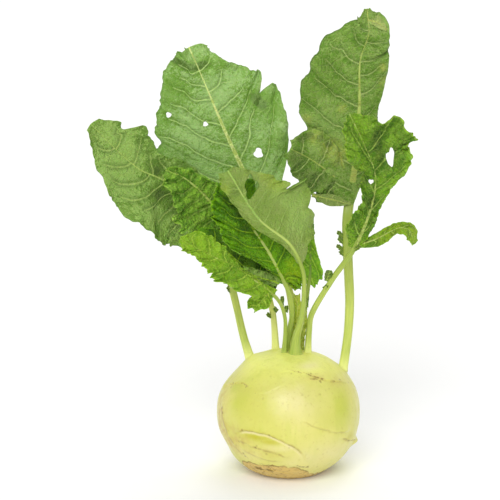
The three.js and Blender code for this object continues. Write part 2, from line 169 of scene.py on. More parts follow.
# Scars of old leaves and folds in the skin: the angles where they start and end, and heights at equal
# steps between. The skin above stands out by the step, which fades over the reach, and has a lip.
# Tan, brown and pale are the strengths of the lines that run along it. The tan line is partly the
# scar's own tan and partly painted shade in the crease; the pale line, 1.1 mm below at the lip's
# lower edge, is a painted highlight.
creases = [
    {"from": -144, "to": -68, "heights": [29.5, 34.4, 34.8, 32.0, 25.0, 12.5], "step": 1.0, "reach": 6.0,
        "lip": 0.3, "tan": 0.9, "pale": 0.9, "brown": 0.35},
    {"from": -142, "to": -86, "heights": [28.5, 25.2, 23.0, 18.5], "step": 0.35, "reach": 3.0, "tan": 0.85,
        "brown": 0.4},
    {"from": -140, "to": -92, "heights": [22.6, 17.8, 16.3], "step": 0.3, "reach": 3.0, "tan": 0.55},
    {"from": -176, "to": -124, "heights": [53.5, 57.5, 60.0, 58.5], "step": 0.8, "reach": 5.0, "tan": 0.6,
        "brown": 0.45},
    {"from": -128, "to": -92, "heights": [56.5, 58.5, 63.5], "step": 0.2, "reach": 3.0, "brown": 0.6},
    {"from": -50, "to": -14, "heights": [62.0, 60.0, 57.0], "step": 0.3, "reach": 3.0, "brown": 1.0,
        "tan": 0.4},
    {"from": -106, "to": -14, "heights": [67.8, 68.8, 68.0, 65.6, 62.6, 59.5, 56.0], "step": 0.5,
        "reach": 6.0, "brown": 0.9, "tan": 0.5},
    {"from": -88, "to": -28, "heights": [46.5, 40.0, 35.0, 32.0, 31.0], "step": 0.8, "reach": 7.0,
        "tan": 0.45},
    {"from": -46, "to": -6, "heights": [29.0, 25.0, 22.5, 19.5], "step": 0.9, "reach": 4.0, "tan": 0.6,
        "brown": 0.6},
    {"from": -138, "to": -102, "heights": [9.8, 9.2, 8.6], "step": 0.5, "reach": 2.0, "brown": 1.0},
    {"from": -122, "to": -96, "heights": [13.4, 13.0], "step": 0.3, "reach": 2.0, "brown": 0.8},
    {"from": -94, "to": -66, "heights": [13.5, 13.0, 10.4], "step": 0.6, "reach": 2.0, "brown": 1.0},
    {"from": -164, "to": -138, "heights": [46.0, 36.0, 27.0, 21.0], "step": 0.2, "reach": 3.0, "tan": 0.9,
        "brown": 0.45},
    {"from": -158, "to": -124, "heights": [36.0, 25.0, 18.0, 15.0], "step": 0.2, "reach": 3.0, "tan": 0.8,
        "brown": 0.3},
    {"from": -74, "to": -18, "heights": [65.0, 63.6, 61.0, 58.0], "step": 0.2, "reach": 3.0, "brown": 0.8,
        "tan": 0.6},
    {"from": 22, "to": 96, "heights": [26.0, 32.0, 35.0, 33.0, 26.0], "step": 0.9, "reach": 6.0, "tan": 0.7,
        "pale": 0.6},
    {"from": 60, "to": 128, "heights": [50.0, 54.0, 56.0, 52.0], "step": 0.7, "reach": 5.0, "tan": 0.5,
        "brown": 0.5},
    {"from": 116, "to": 172, "heights": [26.0, 31.0, 30.0, 24.0], "step": 0.9, "reach": 5.0, "tan": 0.7},
    {"from": 20, "to": 80, "heights": [66.0, 68.0, 66.0], "step": 0.4, "reach": 5.0, "brown": 0.6},
]

# low swellings and hollows: angle, height, half-width, half-height and how far they stand out
swellings = [
    [180, 61, 28, 11, -2.8],
    [-30, 62, 26, 8, -1.1],
    [183, 18, 17, 7, -1.6],
    [-6, 19, 4.0, 2.6, 2.6],
    [-3, 25, 6.0, 3.0, -0.7],
    [-178, 53.5, 3.0, 2.0, 0.7],
    [0, 40, 30, 20, 0.5],
    [-70, 72.5, 6, 3, 0.8],
    [95, 20, 22, 8, -1.6],
    [70, 58, 24, 10, -1.4],
    [168, 74, 12, 4, -0.9],
    [12, 71, 12, 5, 0.8],
]

# soft patches of colour: angle, height, half-width, half-height, kind and strength. The broad cream
# patch high on the front, at -84 degrees, is a painted highlight; the green patches at -40, -139 and
# -152 degrees, on the two sides as seen from the front, are partly the skin's own green and partly
# painted shade towards the edges.
blots = [
    [-84, 55, 17, 13, "creamAndHighlight", 0.8],
    [-55, 70, 8, 4, "creamAndHighlight", 0.7],
    [-40, 47, 9, 13, "green", 0.7],
    [-139, 50, 6, 7, "green", 0.45],
    [-152, 56, 5, 3, "green", 0.7],
    [-168, 50, 5, 6, "tan", 0.55],
    [-164, 41, 7, 9, "tan", 0.85],
    [-160, 30, 9, 8, "tan", 1.0],
    [-149, 23, 9, 6, "tan", 0.9],
    [-140, 33, 6, 3, "tan", 0.6],
    [-134, 28, 9, 4.5, "tan", 0.75],
    [-120, 22, 16, 4, "tan", 0.3],
    [-117, 31.6, 9, 2.2, "yellow", 1.0],
    [-106, 29.4, 5.5, 1.8, "yellow", 0.9],
    [-98, 26, 10, 3.2, "creamAndHighlight", 0.8],
    [-60, 19, 22, 9, "creamAndHighlight", 0.75],
    [-85, 16, 16, 5, "creamAndHighlight", 0.5],
    [-128, 19, 14, 5, "creamAndHighlight", 0.4],
    [-30, 27, 4, 2.5, "yellow", 0.6],
    [-58, 65, 8, 3, "tan", 0.35],
    [-34, 60, 6, 3, "tan", 0.4],
    [50, 46, 16, 14, "green", 0.7],
    [100, 54, 16, 12, "creamAndHighlight", 0.7],
    [70, 20, 22, 8, "creamAndHighlight", 0.7],
    [140, 44, 14, 12, "green", 0.6],
    [120, 22, 16, 5, "tan", 0.4],
]


# radius at a height: a squarish ellipse above and below the widest ring
def bulbRadius(z):
    half = np.where(z > bulbForm["widest"], bulbForm["height"] - bulbForm["widest"], bulbForm["baseDrop"])
    u = np.minimum(np.abs(z - bulbForm["widest"]) / half, 1)
    power = bulbForm["squareness"]
    return bulbForm["width"] / 2 * (1 - u**power) ** (1 / power)


# height of the bulb's upper side over a place
def bulbTop(x, y):
    power = bulbForm["squareness"]
    u = min(math.hypot(x, y) / (bulbForm["width"] / 2), 1)
    return bulbForm["widest"] + (bulbForm["height"] - bulbForm["widest"]) * (1 - u**power) ** (1 / power)


# a spine's points, with a foot given as x and y set into the bulb
def spineCurve(spine):
    foot = bulbForm["socket"]
    return curveThrough([p if len(p) == 3 else [p[0], p[1], bulbTop(p[0], p[1]) - foot] for p in spine])


leafForm = {
    "thickness": 0.5,
    "flareLength": 7.0,
    "stalkAround": 32,
    "stalkRings": 116,
    "groove": 0.2,  # depth of the channel down a stalk's upper side, as a share of its radius
    "leastRadius": 0.32,  # of a midrib at its tip
    "midribEnd": 0.965,  # share of the blade that the midrib runs up
    "curlStart": 0.86,  # share of the reach where a curl begins
    "puffHeight": 0.7,  # flesh raised between the veins
    "puffReach": 3.5,  # distance from a vein at which it is nearly all raised
    "ridgeHeight": 0.3,  # veins raised on the underside
    "ridgeReach": 0.55,
    "firstStep": 0.012,  # half-width of the midrib's own columns, as a share of the reach
}

# Each leaf: the midrib line from its foot on the bulb to the tip, where a foot given as x and y gets
# its height from the bulb, the share of that length where the blade starts, the way its upper side
# faces, the fold of each half in degrees, and the reach (mm) and forward sweep (degrees) of each margin,
# all at equal steps up the blade. Notches, holes, curls and lobes are placed one by one. Many of the
# margins here and of the colours in the looks are values that a fit gave.
leaves = [
    {
        "name": "far_left",
        "stalk": [2.3, 2.1], "flare": 0.1, "greenness": 0.6,
        "spine": [[-22.8, 8], [-26.9, 11, 80], [-33.3, 15, 107], [-42.2, 13, 139], [-57, 9, 161], [-73,
            5, 177.5],
            [-89, 1, 186], [-104, -3, 200], [-117, -7, 214.4]],
        "bladeFrom": 0.48, "thins": 1.5, "sink": [0.9, 0.8],
        "facing": [[0.1, -1, 0.2], [0.05, -1, 0.3], [0.1, -1, 0.4]], "fold": [8, 14],
        "left": {"reach": [20, 27, 34, 32, 25, 16, 5], "sweep": [-10, -15, -25, -5, -10, -10, -5]},
        "right": {"reach": [11, 16, 17, 13, 18, 21, 6], "sweep": [20, 5, 15, -20, -10, -10, -10]},
        "notches": [{"side": "right", "at": 0.855, "depth": 0.4, "wide": 0.035}], "wave": 1.6,
        "waves": 4, "rows": 22,
    },
    {
        "name": "back_left",
        "stalk": [2.4, 2], "flare": 0.3, "greenness": 0.15, "wash": 0.6,
        "spine": [[3, 12], [4, 15, 81], [1, 20, 107], [-10, 24, 139], [-25, 25, 176], [-38, 24, 205],
            [-51, 19, 237], [-59, 12, 257]],
        "bladeFrom": 0.45, "facing": [[0, -1, 0.05], [0, -1, 0.1], [0, -1, 0.3]], "fold": [6, 6],
        "left": {"reach": [16, 52, 51, 43, 36, 21, 3], "sweep": [15, 30, 40, 45, 55, 65, 50]},
        "right": {"reach": [18, 41, 48, 40, 29, 17, 9], "sweep": [20, 30, 35, 35, 20, 10, -10]},
        "wave": 2.2, "waves": 5, "rows": 27,
        "holes": [[-72, 216, 1.6, 1.9], [-50, 210, 1.5, 1.5], [-18, 192, 2.6, 3.1]],
        "notches": [
            {"side": "right", "at": 0.42, "depth": 0.26, "wide": 0.03},
            {"side": "left", "at": 0.3, "depth": 0.08, "wide": 0.03},
        ],
    },
    {
        "name": "inner_left",
        "stalk": [1.85, 1.6], "flare": 0.3, "greenness": 0.0, "wash": 0.8,
        "spine": [[-7.4, 7], [-8.3, 8.5, 88], [-9.4, 8.8, 97], [-13.4, 8, 111], [-27, 6, 139], [-45, 1,
            164], [-61, -5, 181],
            [-73, -8, 187]],
        "bladeFrom": 0.6, "facing": [[0, -1, 0.2], [0.1, -1, 0.3], [0.2, -1, 0.3]], "fold": [6, 6],
        "left": {"reach": [9, 18, 25, 24, 17, 12, 4], "sweep": [20, 5, 5, 10, 5, 40, 15]},
        "right": {"reach": [11, 14, 13, 10, 8, 7, 5], "sweep": [25, 25, 15, -5, -20, -30, -40]},
        "wave": 2, "waves": 5, "rows": 18,
    },
    {
        "name": "low_left",
        "stalk": [1.15, 1.1], "flare": 0.4, "greenness": 0.95, "dark": 0.4, "wash": -0.2,
        "spine": [[-2.8, -4.2], [-1.8, -6.5, 89], [-2.3, -10.5, 98.5], [-5.2, -15, 108], [-15, -24,
            120], [-33, -31, 134], [-46, -34,
            141], [-64, -36, 151]],
        "bladeFrom": 0.4, "thins": 2, "sink": [0.9, 0.8],
        "facing": [[0, -1, 0.5], [0, -1, 0.6], [0, -1, 0.6]], "fold": [8, 10],
        "left": {"reach": [8, 11, 16, 17, 10, 8, 3], "sweep": [5, 20, 35, 35, 30, 45, 0]},
        "right": {"reach": [4, 4, 4, 4, 6, 8, 10, 9, 2], "sweep": [40, 70, 75, 75, 35, 10, 10, 10, 20]},
        "notches": [
            {"side": "left", "at": 0.3, "depth": 0.12, "wide": 0.02},
            {"side": "left", "at": 0.55, "depth": 0.12, "wide": 0.02},
            {"side": "left", "at": 0.74, "depth": 0.14, "wide": 0.02},
            {"side": "right", "at": 0.5, "depth": 0.12, "wide": 0.02},
        ],
        "wave": 1.4, "waves": 5, "rows": 20,
        "lobes": [
            {
                "spine": [[-12, -24, 116], [-16, -26, 112], [-21, -27, 107]],
                "facing": [[0.1, -1, 0.4], [0.1, -1, 0.3]],
                "left": {"reach": [3, 5.8, 3.8, 2.2], "sweep": [10, 10, 30, 40]},
                "right": {"reach": [4, 5.8, 6.8, 3.6], "sweep": [20, 20, 30, 40]}, "rows": 6,
            },
        ],
    },
    {
        "name": "centre_left",
        "stalk": [1.65, 1.4], "flare": 0.4, "greenness": 0.95, "dark": 0.2, "wash": -0.2,
        "spine": [[-1.6, 2], [0.2, -0.5, 85], [1.9, -3, 95], [2.2, -5, 102], [0.6, -8, 112], [-3.4,
            -10, 121], [-12.2, -14, 139], [-28, -17, 163],
            [-41, -17, 181]],
        "bladeFrom": 0.4, "facing": [[0, -1, 0.15], [0.1, -1, 0.2], [0.1, -1, 0.3]], "fold": [10, 14],
        "left": {"reach": [8, 16, 25, 27, 22, 12, 2], "sweep": [65, 50, 40, 50, 50, 60, 35]},
        "right": {"reach": [10, 17, 20, 21, 14, 17, 12], "sweep": [-45, -30, 15, 30, 20, 5, -10]},
        "wave": 1.6, "waves": 6, "rows": 22,
        "curls": [
            {"side": "left", "at": 0.08, "wide": 0.06, "turn": 2.6, "start": 0.78},
            {"side": "left", "at": 0.25, "wide": 0.05, "turn": 2.4, "start": 0.8},
            {"side": "left", "at": 0.42, "wide": 0.05, "turn": 1.6},
        ],
        "lobes": [
            # a long flap tucked behind the frilled left margin; its dark patches are painted shadow filling
            # the shaded gap down to low_left
            {
                "spine": [[-7, -6, 116], [-19.4, -8, 122.4], [-28.9, -8.5, 130.6], [-38.5, -9, 139.6],
                    [-48, -9.5, 146], [-55, -10, 149]],
                "facing": [[0.1, -1, 0.2], [0.1, -1, 0.3]],
                "left": {"reach": [2, 6, 6, 6, 5, 3], "sweep": [0, 0, 0, 0, 0, 10]},
                "right": {"reach": [9, 11, 11, 11, 8, 4], "sweep": [0, 0, 0, 0, 0, 10]},
                "rows": 9, "patches": [[-14, 120, 14, "dark"], [-28, 131, 14, "dark"], [-42, 142, 12,
                    "dark"]],
                "fineness": 0.3,
            },
            {
                "spine": [[-5.6, -12.5, 119.4], [-10, -14.5, 121.4], [-16.4, -16, 123.4], [-22, -17,
                    126], [-27, -18, 129.6]],
                "facing": [[0, 1, 0.1], [0, 1, -0.2], [0, 1, -0.3]],
                "left": {"reach": [2, 3.6, 4.4, 3.8, 1.6], "sweep": [0, 0, 0, 0, 20]},
                "right": {"reach": [2, 7, 7, 5, 2], "sweep": [0, 0, 0, 0, 20]},
                "rows": 8, "calm": 1.6, "wave": 2.2, "waves": 5, "fineness": 0.35,
                "patches": [[-12, 123, 5, "deep"], [-20, 125, 5, "deep"]],
            },
            {
                "spine": [[0.3, -3.4, 126.6], [3.3, -4.6, 120.8], [5.4, -5.6, 114.2]],
                "facing": [[0.2, -1, 0.4], [0.1, -1, 0.3]],
                "left": {"reach": [2.5, 4.2, 4.2, 2], "sweep": [0, 0, 10, 20]},
                "right": {"reach": [2.5, 4.6, 4.2, 2], "sweep": [0, 0, 10, 20]},
                "rows": 6, "patches": [[3, 120, 9, "yellow"]], "fineness": 0.35,
            },
        ],
    },
    {
        "name": "front",
        "stalk": [1.75, 1.15], "flare": 2.0, "flareLength": 13, "dark": 0.2, "wash": -0.25,
        "greenness": 0.9,
        "spine": [[4.2, -4.5], [4.9, -7, 85], [7, -10.5, 94], [8.6, -14.5, 104], [9, -18, 116], [8.4,
            -21.5, 128],
            [0.6, -26, 145.5], [-18, -30, 162],
            [-36, -33, 191]],
        "bladeFrom": 0.47, "thins": 1.2, "facing": [[-0.3, 1, -0.1], [-0.2, 1, -0.1], [-0.1, 1, -0.2]],
        "fold": [25, 8],
        "left": {"reach": [9, 20, 30, 44, 33, 23, 5], "sweep": [25, -15, -20, -10, -10, -10, -5]},
        "right": {"reach": [2, 5, 6.5, 8.5, 10, 10, 6], "sweep": [40, 40, 45, 50, 45, 35, 15]},
        "wave": 1.4, "waves": 4, "rows": 22, "holes": [[-22.6, 180.3, 4.2, 7, 1.3]],
        "notches": [{"side": "left", "at": 0.6, "depth": 0.2, "wide": 0.035}],
    },
    {
        "name": "inner_right",
        "greenness": 0.9, "dark": 0.75, "stalk": [1.7, 1.2], "flare": 0.5,
        "spine": [[7.4, 6], [8.8, 5.5, 88], [10.6, 4, 103], [12, 1.5, 114], [13, 0, 122], [13, -4,
            145], [13, -6, 160]],
        "bladeFrom": 0.5, "facing": [[0.2, -1, 0], [0.2, -1, 0.1], [0.2, -1, 0.2]], "fold": [5, 5],
        "left": {"reach": [5, 10, 9, 7, 2], "sweep": [5, 30, 35, 30, 30]},
        "right": {"reach": [4, 9, 6, 3, 2, 2], "sweep": [-25, -30, -25, -20, 5, 30]}, "wave": 1,
        "waves": 4, "rows": 14,
    },
    {
        "name": "front_right",
        "stalk": [1.75, 1.65], "flare": 0.2, "greenness": 0.8,
        "spine": [[11.8, 0], [12.6, -1, 88], [13.8, -1.5, 97], [25.5, -5, 119], [39.8, -7, 141], [49.5,
            -8, 167], [51, -9, 184], [45,
            -13, 201], [35, -20, 222]],
        "bladeFrom": 0.46, "thins": 2.2, "sink": [0.9, 0.8],
        "facing": [[0.2, -1, 0.2], [0.1, -1, 0.1], [-0.1, -1, 0.3]], "fold": [10, 16],
        "left": {"reach": [4, 11, 8, 11, 11, 16, 13, 9, 2], "sweep": [-5, 5, 30, 30, 30, 30, 30, 30, 35]},
        "right": {"reach": [3, 9, 9, 9, 10, 21, 25, 30, 26, 17, 6], "sweep": [40, 55, 60, 45, 25, 20,
            10, 0, 14, -6, -10]},
        "wave": 1.8, "waves": 6, "rows": 28,
        "notches": [
            {"side": "right", "at": 0.62, "depth": 0.16, "wide": 0.02},
            {"side": "right", "at": 0.74, "depth": 0.14, "wide": 0.02},
            {"side": "right", "at": 0.88, "depth": 0.26, "wide": 0.03},
        ],
        "holes": [[59.6, 196, 2.4, 6.4, 1.6], [43.1, 186.2, 1.2, 1.9], [48.4, 180.5, 1.5, 1.3]],
        "lobes": [
            {
                "spine": [[43, -8, 142], [53, -9, 146], [60, -10, 150], [66, -12, 153],
                    [71, -15, 152], [74, -17, 144]],
                "facing": [[0.1, -1, 0.4], [0, -1, 0.7], [0.7, -0.8, 0.3]],
                "left": {"reach": [6, 7, 7, 6, 5, 3], "sweep": [65, 55, 60, 60, 10, -25]},
                "right": {"reach": [3, 5, 5, 4, 5, 2], "sweep": [-55, -40, -20, -25, 30, 10]},
                "rows": 12, "calm": 0.3, "patches": [[62, 152, 12, "yellow"], [74, 148, 9, "yellow"]],
            },
        ],
    },
    {
        "name": "back_right",
        "stalk": [2.6, 3.0], "flare": -0.3, "greenness": 0.5,
        "spine": [[33.4, 6], [36.6, 10, 83], [37.6, 13, 101], [36.9, 15.5, 120], [36.0, 17, 138],
            [35.9, 18, 153], [37.6, 18.5, 166], [41, 20, 191], [42.6, 20, 222], [42.5, 18.5, 246],
            [43.4, 17, 252], [45.6, 14.5, 259], [47.4, 11, 266], [45.8, 6, 281]],
        "sink": [1.3, 1.1, 0.6, 0.5, 0.45], "bladeFrom": 0.45, "thins": 1.5,
        "facing": [[0, -1, 0.1], [0, -1, 0.05], [-0.1, -1, 0.3]], "fold": [6, 8],
        "left": {"reach": [19, 26, 33, 41, 39, 33, 23, 12, 2], "sweep": [0, 5, 20, 25, 35, 40, 50, 50,
            30]},
        "right": {"reach": [4, 13, 20, 17, 19, 21, 17, 14, 2], "sweep": [45, 50, 55, 50, 40, 35, 35, 40,
            25]},
        "wave": 2, "waves": 5, "rows": 27,
        "lobes": [
            {
                "spine": [[33, 20, 173], [25, 17, 181], [12, 12, 191], [1, 9, 197]],
                "facing": [[0.2, -1, 0.1], [0.1, -1, 0.1], [0, -1, 0.2]],
                "left": {"reach": [12, 17.5, 17, 13.8, 5.5], "sweep": [-10, -10, 0, 10, 30]},
                "right": {"reach": [6, 12.5, 17, 17, 5.5], "sweep": [10, 10, 10, 10, 30]},
                "rows": 12, "calm": 1.5, "holes": [[16.8, 168.6, 2, 1.4]],
                # the row of dark patches along the lobe's upper edge, where it meets the main blade, is
                # painted shadow; the shade patches darken the lobe
                "patches": [[22, 175, 10, "shade"], [8, 184, 12, "shade"], [4, 193, 6, "shade"], [8,
                    203, 3.5, "dark"],
                    [13, 205, 3, "dark"], [19, 203, 3, "dark"], [24, 199, 3, "dark"],
                    [15, 193, 4, "grey"], [19, 187, 4, "grey"], [30, 170, 6, "dark"], [10, 176, 6, "dark"],
                    [32, 190, 6, "yellow"], [33, 198, 5, "yellow"]],
            },
            {
                "spine": [[46.4, 8.4, 274], [52, 7, 272.8], [57.6, 4, 268.8]],
                "facing": [[0.1, 1, 0], [0.2, 1, -0.1]],
                "left": {"reach": [1.2, 2.4, 2.6, 1], "sweep": [0, 0, 0, 0]},
                "right": {"reach": [2.6, 4.0, 2.6, 0.6], "sweep": [0, 0, 0, 0]},
                "rows": 6, "calm": 0.2, "wave": 0.1, "fineness": 0.25,
            },
            {
                "spine": [[14.3, 12.4, 168.2], [24, 14.6, 165.7], [37.4, 16, 162]],
                "facing": [[0, 1, 0], [0, 1, 0]],
                "left": {"reach": [0.4, 3, 4.4, 3.2, 0.6], "sweep": [0, 0, 0, 0, 0]},
                "right": {"reach": [0.4, 2, 3, 2.6, 0.4], "sweep": [0, 0, 0, 0, 0]},
                "rows": 6, "calm": 0.2, "wave": 0.1, "fineness": 0.25, "patches": [[24, 165, 14, "deep"]],
            },
        ],
    },
]

